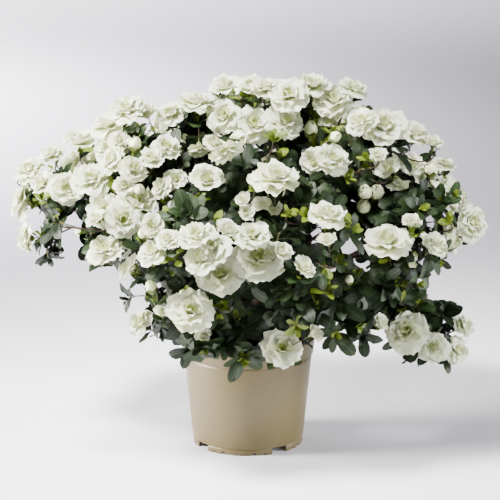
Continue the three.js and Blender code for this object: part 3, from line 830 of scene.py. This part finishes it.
# How each named spray stands: steps towards the camera until two flowers have room, how far ahead of its
# shell, further for a flower that faces the camera, and how far forward at most
frontSize = {"step": 3, "mostSteps": 9, "room": 0.62, "around": 60, "dip": 8, "ahead": 6, "facing": 14,
             "faceFrom": 45, "faceSpan": 25, "limit": -212, "half": 0.45, "behind": 12, "topRoom": 3}


def planFront():  # the largest first, and each later one a little nearer the camera where they would meet
    size, sprays = frontSize, []
    spots = sorted(((width, kind, across, up, turned, clock) for kind, places in frontFlowers.items()
                    for across, up, width, turned, clock in places), key=lambda spot: -spot[0])
    places = np.array([spot[2:4] for spot in spots])
    found = [frontSpot(*place) for place in places]
    depths = pictureOf(np.array([hub for hub, mass in found]))[2]
    for i, (width, kind, across, up, turned, clock) in enumerate(spots):
        hub, mass = found[i]
        near = np.hypot(*(places - places[i]).T) < size["around"]
        sunk = depths[i] - np.median(depths[near]) - size["dip"]  # further in than its neighbours
        facing = size["facing"] * max(0, size["faceFrom"] - turned) / size["faceSpan"]
        hub = hub + toCamera * (max(0, sunk) + size["ahead"] + (facing if kind == "open" else 0))
        turned, clock = math.radians(turned), math.radians(clock)
        sideways = pictureUp * math.cos(clock) + pictureRight * math.sin(clock)
        axis = toCamera * math.cos(turned) + sideways * math.sin(turned)
        for step in range(size["mostSteps"] if kind in flowerKinds else 0):
            room = [np.linalg.norm(other["hub"] - hub) - (other["width"] + width) / 2 * size["room"]
                    for other in sprays if other["kind"] in flowerKinds]
            if not room or min(room) > 0:
                break
            hub = hub + toCamera * size["step"]
        hub = hub - toCamera * max(0, size["limit"] - hub[1])
        sprays.append({"hub": hub, "axis": axis, "size": width / fullWidths[kind], "kind": kind,
                       "mass": mass, "width": width})
    return sprays


frontDepth = 30  # a spray that stands before this depth can be seen from the front
ruleSize = {"clear": 6, "flowerRoom": 30, "bareRoom": 46, "edge": 12, "gap": 4, "flowerGap": 18}
growthSize = {
    "candidates": 48, "cap": 108, "shell": (0.74, 0.96), "scale": (0.82, 1.05), "lean": 0.45, "edge": 8,
    "gap": 4, "leafRoom": 17.5, "leafFromFlower": 15, "leafClear": 18, "young": 0.16, "bud": 0.85,
    "flowerRoom": 32, "clusterRoom": 27, "clusterLuck": 0.2, "flowerEdge": 13, "flowerClear": 8,
    "flowerGap": 20, "open": 0.8, "innerSprays": 13, "limbShoots": 12,
}
flowerShares = {"crest": 0.6, "upper": 0.55, "middle": 0.45, "lower": 0.2, "skirt": 0.08}
# Parts of the front that are nearly all in flower: across, up, half width and half height
clusters = ((-185, 40, 75, 100), (-60, 150, 80, 40), (90, 160, 110, 45), (205, 30, 50, 70))
potFront = {"across": (-4, 74), "up": -84}  # the pot shows here, with no sprays before it


def planRest(named):  # the rule's own sprays where they spoil nothing, then more to close the crown
    size, sprays = ruleSize, list(named)
    flowering = [spray for spray in named if spray["kind"] in flowerKinds]
    across, up, depth = pictureOf(np.array([spray["hub"] for spray in flowering]))
    half = np.array([spray["width"] * frontSize["half"] for spray in flowering])
    front = {"across": across, "up": up, "depth": depth, "half": half}
    flowers = [spray["hub"] for spray in flowering if spray["kind"] != "bud"]
    for mass in masses:
        for spray in mass["sprays"]:
            hub, blooming = spray["hub"], spray["blooming"]
            room = nearest(flowers, hub)
            across, up, depth = spotOf(hub)
            if hides(hub, front, size["clear"]) or overPot(across, up, hub):
                continue
            if blooming and room < size["flowerRoom"]:
                continue
            bare = hub[1] < frontDepth and room < size["bareRoom"] and not inCluster(across, up)
            kind = "open" if blooming and not bare else "leaves"
            gapRoom = size["flowerGap" if kind == "open" else "gap"]
            if edgeRoom(across, up) < size["edge"] or inGap(hub[None], gapRoom):
                continue
            if kind == "open":
                flowers.append(hub)
            sprays.append({"hub": hub, "axis": spray["axis"], "size": spray["size"], "kind": kind,
                           "mass": mass})
    for mass in masses:
        fillMass(mass, sprays, flowers, front)
    closeFront(sprays, front)
    return sprays


def overPot(across, up, hub):
    low, high = potFront["across"]
    return bool(hub[1] < 0 and low < across < high and up < potFront["up"])


def edgeRoom(across, up):  # how far inside the crown's outline, as the camera sees it
    top, foot = (float(np.interp(across, *zip(*edge))) for edge in (crownTop, crownFoot))
    return min(top - up, up - foot)


def inCluster(across, up):
    return any(((across - x) / wide) ** 2 + ((up - y) / tall) ** 2 < 1 for x, y, wide, tall in clusters)


def fillMass(mass, sprays, flowers, front):
    roll, size = dice(mass["seed"] + 200), growthSize
    start, count = roll(0, 360), size["candidates"]
    for i in range(count):
        around = math.radians(start + i * goldenTurn)
        slope = math.radians(size["cap"]) * math.sqrt((i + 0.5) / count)
        shell, luck, pick = roll(*size["shell"]), roll(0, 1), roll(0, 1)
        scale, lean = roll(*size["scale"]), direction(roll(0, 360), roll(-30, 60)) * size["lean"]
        hub = shellSpot(mass, slope, around, shell, shell)
        across, up, depth = spotOf(hub)
        edge = edgeRoom(across, up)
        if not clearOfPot(hub[None]) or overPot(across, up, hub):
            continue
        if edge < size["edge"] or inGap(hub[None], size["gap"]):
            continue
        fromFlowers = nearest(flowers, hub)
        fromAll = nearest([spray["hub"] for spray in sprays], hub)
        if hub[1] < frontDepth:
            wanted = (inCluster(across, up) and fromFlowers > size["clusterRoom"]
                      and luck < size["clusterLuck"])
        else:
            wanted = fromFlowers > size["flowerRoom"] and luck < flowerShares[mass["tier"]]
        clear = not hides(hub, front, size["flowerClear"]) and not inGap(hub[None], size["flowerGap"])
        if wanted and clear and edge > size["flowerEdge"]:
            flowers.append(hub)
            sprays.append(sprayAt(mass, hub, "open" if pick < size["open"] else "half", scale, lean))
        elif (fromFlowers > size["leafFromFlower"] and fromAll > size["leafRoom"]
              and not hides(hub, front, size["leafClear"])):
            kind = "young" if pick < size["young"] else "bud" if pick > size["bud"] else "leaves"
            sprays.append(sprayAt(mass, hub, kind, scale, lean))
    # These inner leaves all take the darkest leaf tone, as painted shade deep in the crown.
    for i in range(size["innerSprays"]):  # leaves deep inside, which close the crown
        way = direction(roll(0, 360), roll(-60, 60))
        hub = mass["fork"] + way * roll(8, 24) + mass["outward"] * roll(-6, 16)
        if clearOfPot(hub[None]):
            sprays.append(sprayAt(mass, hub, "inner", roll(0.75, 1.0), way))


# The picture is tried on a loose grid of this step, from and to across and up
closeSize = {"step": 16, "across": (-240, 245), "up": (-112, 190), "jitter": 5, "leafRoom": 14, "clear": 6,
             "gap": 6, "deepest": 10, "sink": 14, "young": 0.1, "edge": 16, "scale": 0.95}


def closeFront(sprays, front):  # leaves wherever the front would show bare twigs
    roll, size = dice(63), closeSize
    spots = (spotOf(spray["hub"]) for spray in sprays if spray["kind"] not in ("open", "half"))
    leafy = [(across, up) for across, up, depth in spots if depth < sight["distance"] + size["deepest"]]
    for across in range(*size["across"], size["step"]):
        for up in range(*size["up"], size["step"]):
            x, y = across + roll(-1, 1) * size["jitter"], up + roll(-1, 1) * size["jitter"]
            sink, pick, lean = roll(0, size["sink"]), roll(0, 1), direction(roll(0, 360), roll(-40, 80))
            flat = np.hypot(front["across"] - x, front["up"] - y)
            near = np.hypot(*(np.array(leafy) - (x, y)).T).min()
            if edgeRoom(x, y) < size["edge"] or near < size["leafRoom"]:
                continue
            hub, mass = frontSpot(x, y)
            hub = hub - toCamera * sink
            if (flat < front["half"] + size["clear"]).any() or overPot(x, y, hub):
                continue
            if inGap(hub[None], size["gap"]) or not clearOfPot(hub[None]):
                continue
            kind = "young" if pick < size["young"] else "leaves"
            axis = unit(toCamera * 0.5 + pictureUp * 0.35 + lean * 0.6)
            sprays.append({"hub": hub, "axis": axis, "size": size["scale"], "kind": kind, "mass": mass})
            leafy.append((x, y))


def limbShoots():  # short leafy shoots along the bare limbs
    roll, count = dice(88), growthSize["limbShoots"]
    shoots = []
    for limb in limbs:
        for i in range(count):
            spot = bezier(limb["curve"], np.array((0.2 + 0.8 * (i + roll(0, 1)) / count,)))[0]
            way = direction(roll(0, 360), roll(-10, 70))
            hub = spot + way * roll(14, 26)
            mass = min(limb["masses"], key=lambda each: np.linalg.norm(each["fork"] - hub))
            # Shoots along the limbs are inner sprays too, so they take the darkest leaf tone as painted
            # shade.
            if clearOfPot(hub[None]):
                shoots.append({"hub": hub, "axis": way, "size": roll(0.8, 1.0), "kind": "inner",
                               "mass": mass, "from": spot})
    return shoots


sprays = planRest(planFront()) + limbShoots()
kinds = [spray["kind"] for spray in sprays]
print("sprays:", {kind: kinds.count(kind) for kind in sorted(set(kinds))})


# Wood: trunk and limbs grown into one with relief in the bark, then stems and twigs

barkSize = {"voxel": 1.0, "ridge": 0.5, "lump": 0.7, "sides": 14, "steps": 24, "rootBury": 4, "limbBury": 5,
            "swell": 0.9, "knuckleTrim": 0.5, "ridges": (420, 420, 110), "lumps": 130}


def trunkRadiusAt(share):
    waistShare, waist = trunkSize["waistShare"], trunkSize["waist"]
    flare = np.clip(1 - share / waistShare, 0, 1) ** 2
    above = np.clip((share - waistShare) / (1 - waistShare), 0, 1)
    return waist + (trunkSize["neck"] - waist) * above + (trunkSize["flare"] - waist) * flare


def taper(foot, tip):
    return lambda share: foot + (tip - foot) * share


def addCopies(bm, shape, copies):
    mesh = bpy.data.meshes.new("copies")
    fillMesh(mesh, shape, copies)
    bm.from_mesh(mesh)
    bpy.data.meshes.remove(mesh)


def woodyFrame():
    tube = tubeShape(barkSize["sides"], barkSize["steps"])
    foot = np.array((0.0, 0.0, trunkSize["foot"] - barkSize["rootBury"]))
    elbow = np.array((0.0, 0.0, (trunkSize["foot"] + fork[2]) / 2))
    bars = [bentTube(tube, (foot, elbow, fork), trunkRadiusAt)]
    balls = [(fork, trunkSize["forkRadius"])]
    for limb in limbs:
        start, elbow, knuckle = limb["curve"]
        start = start + unit(fork - start) * barkSize["limbBury"]
        radii = taper(limb["size"]["foot"] + barkSize["swell"], limb["size"]["tip"])
        bars.append(bentTube(tube, (start, elbow, knuckle), radii))
        balls.append((knuckle, knuckleRadius - barkSize["knuckleTrim"]))
    bm = bmesh.new()
    bmesh.ops.create_icosphere(bm, subdivisions=3, radius=1)
    ball = asShape(bm)
    bm = bmesh.new()
    addCopies(bm, tube, bars)
    addCopies(bm, ball, [ball["points"] * radius + centre for centre, radius in balls])
    rough = placed("roughWood", bpy.data.meshes.new("roughWood"))
    bm.to_mesh(rough.data)
    bm.free()
    grown = rough.modifiers.new("grown", "REMESH")
    grown.mode = "VOXEL"
    grown.voxel_size = barkSize["voxel"] * metre
    seen = rough.evaluated_get(bpy.context.evaluated_depsgraph_get())
    bm = bmesh.new()
    bm.from_mesh(seen.to_mesh())
    bpy.data.objects.remove(rough)
    bmesh.ops.smooth_vert(bm, verts=bm.verts, factor=0.5, use_axis_x=True, use_axis_y=True, use_axis_z=True)
    bm.normal_update()
    for vert in bm.verts:
        ridge = 1 - 2 * abs(noise.noise(vert.co * Vector(barkSize["ridges"])))
        lump = noise.noise(vert.co * barkSize["lumps"])
        vert.co += vert.normal * (ridge * barkSize["ridge"] + lump * barkSize["lump"]) * metre
    return bm


woodPiece = fromBmesh("woodyFrame", woodyFrame(), [barkMaterial], "bark")
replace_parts(woodPiece, "trunk", *[limb["name"] for limb in limbs])
print("trunk and boughs ready:", len(woodPiece.data.polygons), "faces")

twigSize = {"sides": 6, "steps": 4, "stemFoot": 2.1, "stemTip": 1.5, "foot": 1.0, "tip": 0.65,
            "stalk": 12, "youngStalk": 4, "stalkRadius": 0.6, "elbow": 0.4, "bends": 3, "bend": 9,
            "disc": 0.48, "behind": 8, "stemForks": (0.55, 0.8), "forks": (0.45, 0.8), "forkReach": 14,
            "inward": 0.45}
flowerDrop = {"open": 14, "half": 15, "bud": 7}  # from the middle of a flower down to its foot


def baseOf(spray):  # where the stalk meets the flower or leaf rosette
    return spray["hub"] - spray["axis"] * flowerDrop.get(spray["kind"], 0) * spray["size"]


def stalkFoot(spray):  # where the green stalk leaves its twig
    stalk = twigSize["youngStalk" if spray["kind"] in ("young", "inner") else "stalk"]
    return baseOf(spray) - spray["axis"] * stalk * spray["size"]


def crosses(points, others):  # which of these points would stand before one of the front's flowers
    across, up, depth = pictureOf(points)
    flat = np.hypot(others[0] - across[:, None], others[1] - up[:, None])
    return ((flat < others[3]) & (depth[:, None] < others[2] + twigSize["behind"])).any(1)


def growTwigs():  # from the inside out, each from the nearest joint of its mass
    size = twigSize
    tube = tubeShape(size["sides"], size["steps"])
    woody, green = [], []
    shown = [spray for spray in sprays if "width" in spray and spray["kind"] in ("open", "half")]
    discs = np.vstack((pictureOf(np.array([spray["hub"] for spray in shown])),
                       [spray["width"] * size["disc"] for spray in shown]))
    for mass in masses:
        woody.append(bentTube(tube, mass["stem"], taper(size["stemFoot"], size["stemTip"])))
        mass["joints"] = [mass["fork"], *bezier(mass["stem"], np.array(size["stemForks"]))]
    leafy = [spray for spray in sprays if not spray.get("bare")]
    order = sorted(leafy, key=lambda spray: np.linalg.norm(spray["hub"] - spray["mass"]["fork"]))
    for spray in order:
        mass, base, end = spray["mass"], baseOf(spray), stalkFoot(spray)
        joints = np.array(mass["joints"])
        inward = np.linalg.norm(joints - mass["fork"], axis=1)
        way = np.linalg.norm(joints - end, axis=1) + size["inward"] * inward
        start = spray.get("from", joints[way.argmin()])
        reach = np.linalg.norm(end - start)
        elbow = end - spray["axis"] * reach * size["elbow"]
        others = discs[:, [other is not spray for other in shown]]
        for bend in range(size["bends"]):  # twigs keep behind the flowers
            if not crosses(bezier((start, elbow, end), np.linspace(0.15, 0.95, 6)), others).any():
                break
            elbow = elbow - toCamera * size["bend"]
        woody.append(bentTube(tube, (start, elbow, end), taper(size["foot"], size["tip"])))
        middle = (end + base) / 2
        green.append(bentTube(tube, (end, middle, base), taper(size["tip"], size["stalkRadius"])))
        if reach > size["forkReach"] and "from" not in spray:
            joints = bezier((start, elbow, end), np.array(size["forks"]))
            mass["joints"] += list(joints[~crosses(joints, others)])
    return tube, woody, green


# Leaves: a grid with a narrow rib column, bent to a pointed, broad-shouldered blade

leafSize = {"length": 29, "width": 13.6, "arch": 42, "fold": 10, "wave": 0.9,
            "rows": (0, 0.12, 0.32, 0.55, 0.77, 0.92, 1), "halfWidths": (0.09, 0.36, 0.78, 1, 0.9, 0.58, 0.1)}
leafSheet = gridShape(5, 6)
leafSheet["points"][:, 0] = np.interp(leafSheet["points"][:, 0], (-1, -0.6, -0.2, 0.2, 0.6, 1),
                                      (-1, -0.54, -0.07, 0.07, 0.54, 1))
leafSheet["points"][:, 1] = np.interp(leafSheet["points"][:, 1], np.linspace(0, 1, 7), leafSize["rows"])
leafSheet["tones"] = (abs(faceMiddles(leafSheet)[:, 0]) < 0.1).astype(int)  # the rib


def blade(roll, length):  # along +X, across Y, upper side +Z
    size = leafSize
    across, along = leafSheet["points"][:, 0], leafSheet["points"][:, 1]
    steps = np.linspace(0, 1, 17)
    arch = math.radians(size["arch"] * roll(0.1, 1.5))
    lean = arch * (0.35 - steps ** 1.5)
    run, rise = (walked(way) / 16 * length for way in (np.cos(lean), np.sin(lean)))
    half = np.interp(along, size["rows"], size["halfWidths"])
    half = half * size["width"] / 2 * length / size["length"] * roll(0.85, 1.15)
    side = across * half
    fold = math.tan(math.radians(size["fold"] * roll(0.3, 1.5)))
    wave = size["wave"] * across ** 2 * np.sin(along * roll(7, 11) + roll(0, 6)) * np.sin(math.pi * along)
    twist = math.radians(roll(-20, 20)) * along
    height = abs(side) * fold - side ** 2 * 0.02 + wave
    points = np.empty((len(along), 3))
    points[:, 0] = np.interp(along, steps, run)
    points[:, 1] = side * np.cos(twist) - height * np.sin(twist)
    points[:, 2] = np.interp(along, steps, rise) + side * np.sin(twist) + height * np.cos(twist)
    return points


def placeBlade(points, hub, axis, turn, open):
    level, rising = squareTo(axis)
    out = level * math.cos(turn) + rising * math.sin(turn)
    along = out * math.sin(open) + axis * math.cos(open)
    upper = axis * math.sin(open) - out * math.cos(open)
    return points @ np.array((along, np.cross(upper, along), upper)) + hub


# Each ring of a rosette: leaf count, length share, how far open, start along the stalk and its own tone;
# a tip is young on about a third of the sprays
rosettes = {
    "leaves": ((5, 1.05, 76, -6, None), (4, 0.85, 54, -2, None), (3, 0.46, 26, 1, "tip")),
    "inner": ((4, 0.95, 68, 0, None), (2, 0.65, 40, 1, None)),
    "young": ((4, 0.6, 62, -1, "young"), (3, 0.5, 34, 0, "young"), (2, 0.34, 14, 1, "young")),
    "open": ((4, 1.0, 72, 0, None), (4, 0.58, 46, 6, "young")),
    "half": ((4, 0.95, 66, 0, None), (4, 0.54, 42, 6, "young")),
    "bud": ((5, 0.9, 68, -1, None), (4, 0.54, 40, 4, "young")),
}
leastLeaves = {"leaves": 4, "inner": 2, "young": 3}  # a spray with fewer is left out
leafLoose = {"turn": 0.34, "lean": 20, "shift": 3.5, "length": (0.72, 1.14), "bowl": 19, "ahead": 40}


def spoils(points, hubs, axes, sizes, front, room):  # whether a blade would stand before a flower's face
    away = points[:, None] - hubs[None]
    along = np.einsum("pfi,fi->pf", away, axes)
    side = np.linalg.norm(away - along[:, :, None] * axes[None], axis=2)
    before = (along > -7 * sizes) & (along < leafLoose["ahead"]) & (side < leafLoose["bowl"] * sizes)
    nearer = away @ toCamera
    side = np.linalg.norm(away - nearer[:, :, None] * toCamera, axis=2)
    return bool((before | (front & (nearer > 0) & (side < leafLoose["bowl"] * room * sizes))).any())


def growLeaves():
    grown = {tone: [] for tone in leafTones}
    roll = dice(77)
    flowers = [spray for spray in sprays if spray["kind"] in flowerKinds]
    hubs, axes = (np.array([spray[word] for spray in flowers]) for word in ("hub", "axis"))
    front = np.array(["width" in spray for spray in flowers])
    bowls = np.array([spray["size"] * fullWidths[spray["kind"]] / fullWidths["open"] for spray in flowers])
    middles = np.arange(2, 42, 6)  # the points up the middle of a blade
    for spray in sprays:
        kind, kept = spray["kind"], []
        room = 0.6 if kind == "young" else 1.05
        pick = roll(0, 1)
        # Inner sprays, deep in the crown, always take the darkest tone as painted shade. Other sprays take a
        # tone at random.
        sprayTone = "dark" if pick < 0.55 or kind == "inner" else "mid" if pick < 0.9 else "fresh"
        stalk = stalkFoot(spray) if kind in flowerKinds else spray["hub"]
        for count, share, open, shift, ownTone in rosettes[kind]:
            start = roll(0, 360)
            tone = "young" if ownTone == "young" or (ownTone == "tip" and pick > 0.68) else sprayTone
            for i in range(count):
                length = leafSize["length"] * share * spray["size"] ** 0.6 * roll(*leafLoose["length"])
                turn = math.radians(start + (i + roll(-1, 1) * leafLoose["turn"]) * 360 / count)
                lean = math.radians(open + roll(-1, 1) * leafLoose["lean"])
                foot = stalk + spray["axis"] * (shift - roll(0, 1) * leafLoose["shift"])
                points = placeBlade(blade(roll, length), foot, spray["axis"], turn, lean)
                seen = points[middles]
                if not (spoils(seen[2:], hubs, axes, bowls, front, room) or inGap(seen, 0) or pastTop(seen)):
                    kept.append((tone, points))
        if kind not in flowerKinds and len(kept) < leastLeaves[kind]:
            spray["bare"] = True
            continue
        for tone, points in kept:
            grown[tone].append(points)
    return grown


foliageNodes = ["foliage_" + mass["name"] for mass in masses]
mostTriangles = 199000


def foliagePieces(name, shape, copies, materials, slot):  # one piece, or several under the limit
    most = mostTriangles // (2 * len(shape["sizes"]))
    for part in range(0, len(copies), most):
        number = f"_{part // most + 1}" if len(copies) > most else ""
        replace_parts(joined(name + number, shape, copies[part:part + most], materials, slot), *foliageNodes)
    print(name, "ready:", len(copies))


for tone, copies in growLeaves().items():
    foliagePieces(f"leaves_{tone}", leafSheet, copies, list(leafMaterials[tone]), "leaves")
twigTube, woodyTwigs, greenStalks = growTwigs()
foliagePieces("stemsAndTwigs", twigTube, woodyTwigs, [twigMaterial], "bark")
foliagePieces("greenStalks", twigTube, greenStalks, [shootMaterial], "leaves")


# Flowers: whorls of petals, each a grid bent along its middle, wrapped round the flower and frilled

petalSheets = {size: gridShape(*size) for size in ((8, 6), (6, 5), (5, 5), (2, 3))}
toneOrder = ("white", "cream", "heart")
# Whorls from the outside in: grid, tone, petals, length, half width, foot, drop, lean, open, curl, cup, frill
flowerForms = {
    "open": (
        ((8, 6), "white", 5, 27.0, 15.5, 1.8, -13.0, 10, 84, 28, -0.04, 3.7),
        ((8, 6), "white", 5, 25.0, 13.5, 1.6, -12.5, 8, 58, 28, 0.06, 3.6),
        ((6, 5), "white", 4, 22.5, 11.5, 1.4, -12.0, 5, 36, 18, 0.12, 3.6),
        ((5, 5), "cream", 4, 19.5, 9.0, 1.1, -11.5, 3, 22, -6, 0.16, 2.6),
        ((5, 5), "heart", 3, 15.5, 6.5, 0.6, -11.0, 1, 9, -20, 0.20, 1.4),
    ),
    "half": (
        ((8, 6), "white", 5, 26.5, 15.5, 2.0, -15.0, 14, 50, 26, 0.06, 2.2),
        ((8, 6), "white", 4, 24.0, 13.5, 1.6, -14.5, 10, 30, 6, 0.08, 1.8),
        ((5, 5), "cream", 4, 20.5, 10.0, 1.2, -14.0, 6, 16, -18, 0.10, 1.4),
        ((5, 5), "heart", 3, 16.5, 7.0, 0.7, -13.5, 2, 7, -24, 0.12, 1.0),
    ),
    "bud": (
        ((5, 5), "white", 3, 20.0, 8.6, 1.4, -7.0, 48, 2, -74, 0.00, 0.15),
        ((5, 5), "white", 3, 18.8, 8.0, 1.2, -6.6, 44, 2, -72, 0.00, 0.15),
    ),
}
flowerVariants = {"open": 10, "half": 6, "bud": 4}
flowerLoose = {"open": (0.74, 1.08), "length": (0.84, 1.08), "width": (0.84, 1.1), "turn": 0.26, "lean": 14}


def petal(sheet, whorl, roll, turn, wide=1):
    length, width, foot, drop, lean, open, curl, cup, frill = whorl[3:]
    across, along = sheet["points"][:, 0], sheet["points"][:, 1]
    steps = np.linspace(0, 1, 25)
    loose = min(1, frill / 2)
    if loose > 0.1:
        length, width = length * roll(*flowerLoose["length"]), width * roll(*flowerLoose["width"])
    drop = drop + roll(-0.6, 0.6) * loose
    tilt = lean + (open * wide + roll(-1, 1) * flowerLoose["lean"] * loose - lean) * smoothStep(steps / 0.62)
    tilt = np.radians(tilt + (curl + roll(-24, 24) * loose) * steps ** 3)
    out = foot + length * walked(np.sin(tilt)) / 24
    up = drop + length * walked(np.cos(tilt)) / 24
    notch = 0.06 * np.exp(-(across / 0.22) ** 2) * along ** 6
    scallop = 0.04 * loose * np.sin(across * roll(8, 13) + roll(0, 6)) * along ** 5
    share = along * (1 - 0.15 * abs(across) ** 2.6 - notch * loose + scallop)
    half = 0.2 + 0.8 * np.sin(math.pi / 2 * np.minimum(1, along / 0.74)) ** 1.2
    half = half - (0.95 - 0.67 * loose) * np.maximum(0, (along - 0.62) / 0.38) ** 2
    side = across * width * half
    tiltHere = np.interp(share, steps, tilt)
    radius = np.maximum(np.interp(share, steps, out), 1) / np.maximum(abs(np.cos(tiltHere)), 0.1)
    radius = np.maximum(radius, abs(side) / 1.35)
    rise = radius * (1 - np.cos(side / radius)) + cup * width * across ** 2 * along
    waves = np.sin(across * roll(3.6, 6.4) + roll(0, 6)) * (0.45 + 0.55 * abs(across))
    rise = rise + frill * along ** 2.5 * waves + 0.05 * width * across * along
    rise = rise + 0.55 * loose * along * np.sin(across * roll(9, 12) + roll(0, 6))
    points = np.empty((len(along), 3))
    points[:, 0] = np.interp(share, steps, out) - rise * np.cos(tiltHere)
    points[:, 1] = -radius * np.sin(side / radius)
    points[:, 2] = np.interp(share, steps, up) + rise * np.sin(tiltHere)
    cosine, sine = math.cos(turn), math.sin(turn)
    return points @ np.array(((cosine, sine, 0), (-sine, cosine, 0), (0, 0, 1)))


def flowerShape(form, seed):  # every petal of a flower that faces +Z
    roll = dice(seed)
    points, corners, sizes, tones = [], [], [], []
    wide = roll(*flowerLoose["open"])
    for whorl in flowerForms[form]:
        sheet, start = petalSheets[whorl[0]], roll(0, 360)
        for i in range(whorl[2]):
            turn = math.radians(start + (i + roll(-1, 1) * flowerLoose["turn"]) * 360 / whorl[2])
            corners.append(sheet["corners"] + sum(len(each) for each in points))
            points.append(petal(sheet, whorl, roll, turn, wide))
            sizes.append(sheet["sizes"])
            outer = toneOrder.index(whorl[1])
            tones.append(np.where(faceMiddles(sheet)[:, 1] < 0.42, min(outer + 1, 2), outer))
    return {"points": np.concatenate(points), "corners": np.concatenate(corners),
            "sizes": np.concatenate(sizes), "tones": np.concatenate(tones)}


def growFlowers(form):
    shapes = [flowerShape(form, 300 + 20 * len(form) + i) for i in range(flowerVariants[form])]
    roll = dice(900 + len(form))
    copies = []
    for spray in sprays:
        if spray["kind"] != form:
            continue
        shape = shapes[int(roll(0, len(shapes)))]
        turn = roll(0, math.tau)
        level, rising = squareTo(spray["axis"])
        across = level * math.cos(turn) + rising * math.sin(turn)
        turned = np.array((across, np.cross(spray["axis"], across), spray["axis"]))
        copies.append(shape["points"] @ turned * spray["size"] + spray["hub"])
        if form != "bud" or "width" in spray:
            continue
        for side in range(int(roll(0, 2.6))):  # up to two smaller buds of the same cluster
            way = across if side else -across
            lean = unit(spray["axis"] + way * roll(0.5, 0.8) + rising * roll(-0.4, 0.4))
            small, reach = spray["size"] * roll(0.6, 0.85), roll(9, 11)
            hub = spray["hub"] - spray["axis"] * 4 + way * reach * spray["size"]
            copies.append(shape["points"] @ np.array((*squareTo(lean), lean)) * small + hub)
            spray.setdefault("besides", []).append((hub, lean, small))
    return shapes[0], copies


petalTones = [petalMaterials[tone] for tone in toneOrder]
flowerMaterials = {"open": petalTones, "half": petalTones, "bud": [budMaterial, *petalTones[2:] * 2]}
for form in flowerForms:
    shape, copies = growFlowers(form)
    foliagePieces(f"flowers_{form}", shape, copies, flowerMaterials[form], "blossom")


# Green cups under the flowers: five small sepals each

def growSepals():
    sheet = petalSheets[(2, 3)]
    whorl = ((2, 3), "heart", 5, 9.5, 3.2, 0.9, 0, 56, 26, -14, 0.0, 0.15)
    roll = dice(55)
    copies = []
    for spray in sprays:
        if spray["kind"] not in flowerForms:
            continue
        cups = [(baseOf(spray), spray["axis"], spray["size"] * (1.25 if spray["kind"] == "bud" else 1))]
        cups += [(hub - lean * 7 * size, lean, size * 1.25) for hub, lean, size in spray.get("besides", [])]
        for base, axis, size in cups:
            turned = np.array((*squareTo(axis), axis))
            copies += [petal(sheet, whorl, roll, i * math.tau / 5) @ turned * size + base for i in range(5)]
    return sheet, copies


foliagePieces("sepals", *growSepals(), [sepalMaterial], "leaves")


# Stage: a wide pale floor, a high key and a low side light from the left, an even sky, a weak fill and a
# low light from the right, and two lights on the floor behind

stageSize = {"radius": 12, "colour": (0.80, 0.782, 0.85), "air": (0.93, 0.94, 1.0, 1), "airPower": 0.118}
lightSize = {
    "key": {"spot": (-0.75, -0.8, 2.05), "aim": (-0.08, -0.05, 0.15), "cone": 34, "soft": 0.3, "power": 1030,
            "colour": (1.0, 0.985, 0.96)},
    "sky": {"spot": (-0.75, -0.8, 2.05), "aim": (0, 0, 0), "angle": 16, "power": 1.05,
            "colour": (1.0, 0.99, 1.0)},
    "side": {"spot": (-2.05, -0.2, 0.55), "aim": (0, 0, 0.15), "cone": 50, "soft": 0.4, "power": 1150,
             "colour": (1.0, 0.965, 0.9)},
    "fill": {"spot": (1.55, -0.2, 0.4), "aim": (0.05, 0, 0.12), "cone": 34, "soft": 0.3, "power": 270,
             "colour": (0.97, 0.98, 1.0)},
    "low": {"spot": (1.2, -1.5, 0.6), "aim": (0.22, -0.12, 0.17), "cone": 11, "soft": 0.3, "power": 450,
            "colour": (1.0, 1.0, 0.98)},
    "wash": {"spot": (-1.6, 2.25, 1.6), "aim": (-1.2, 1.85, 0), "cone": 88, "soft": 0.4, "power": 1400,
             "colour": (0.985, 0.97, 1.0)},
    "behind": {"spot": (-3.0, 2.6, 3.0), "aim": (-2.2, 4.4, 0), "cone": 100, "soft": 0.5, "power": 4000,
               "colour": (1.0, 0.985, 1.0)},
}


def paleFloor():
    size = stageSize
    bm = bmesh.new()
    bmesh.ops.create_circle(bm, cap_ends=True, radius=size["radius"], segments=96)
    mesh = bpy.data.meshes.new("studioFloor")
    bm.to_mesh(mesh)
    bm.free()
    pale = surface("floor_pale", size["colour"], size["colour"], scale=20, bump=0.02, rough=0.9)
    mesh.materials.append(pale)
    placed("studioFloor", mesh)


paleFloor()
for name, size in lightSize.items():
    lamp = bpy.data.lights.new(name, "SPOT" if "cone" in size else "SUN")
    if "cone" in size:
        lamp.spot_size = math.radians(size["cone"])
        lamp.spot_blend = 1
        lamp.shadow_soft_size = size["soft"]
    else:
        lamp.angle = math.radians(size["angle"])
    lamp.energy = size["power"]
    lamp.color = size["colour"]
    light = placed(name, lamp)
    light.location = size["spot"]
    light.rotation_euler = (Vector(size["aim"]) - light.location).to_track_quat("-Z", "Y").to_euler()

world = bpy.data.worlds.new("studioAir")
world.use_nodes = True
air = world.node_tree.nodes["Background"].inputs
air["Color"].default_value, air["Strength"].default_value = stageSize["air"], stageSize["airPower"]
bpy.context.scene.world = world
print("stage ready")
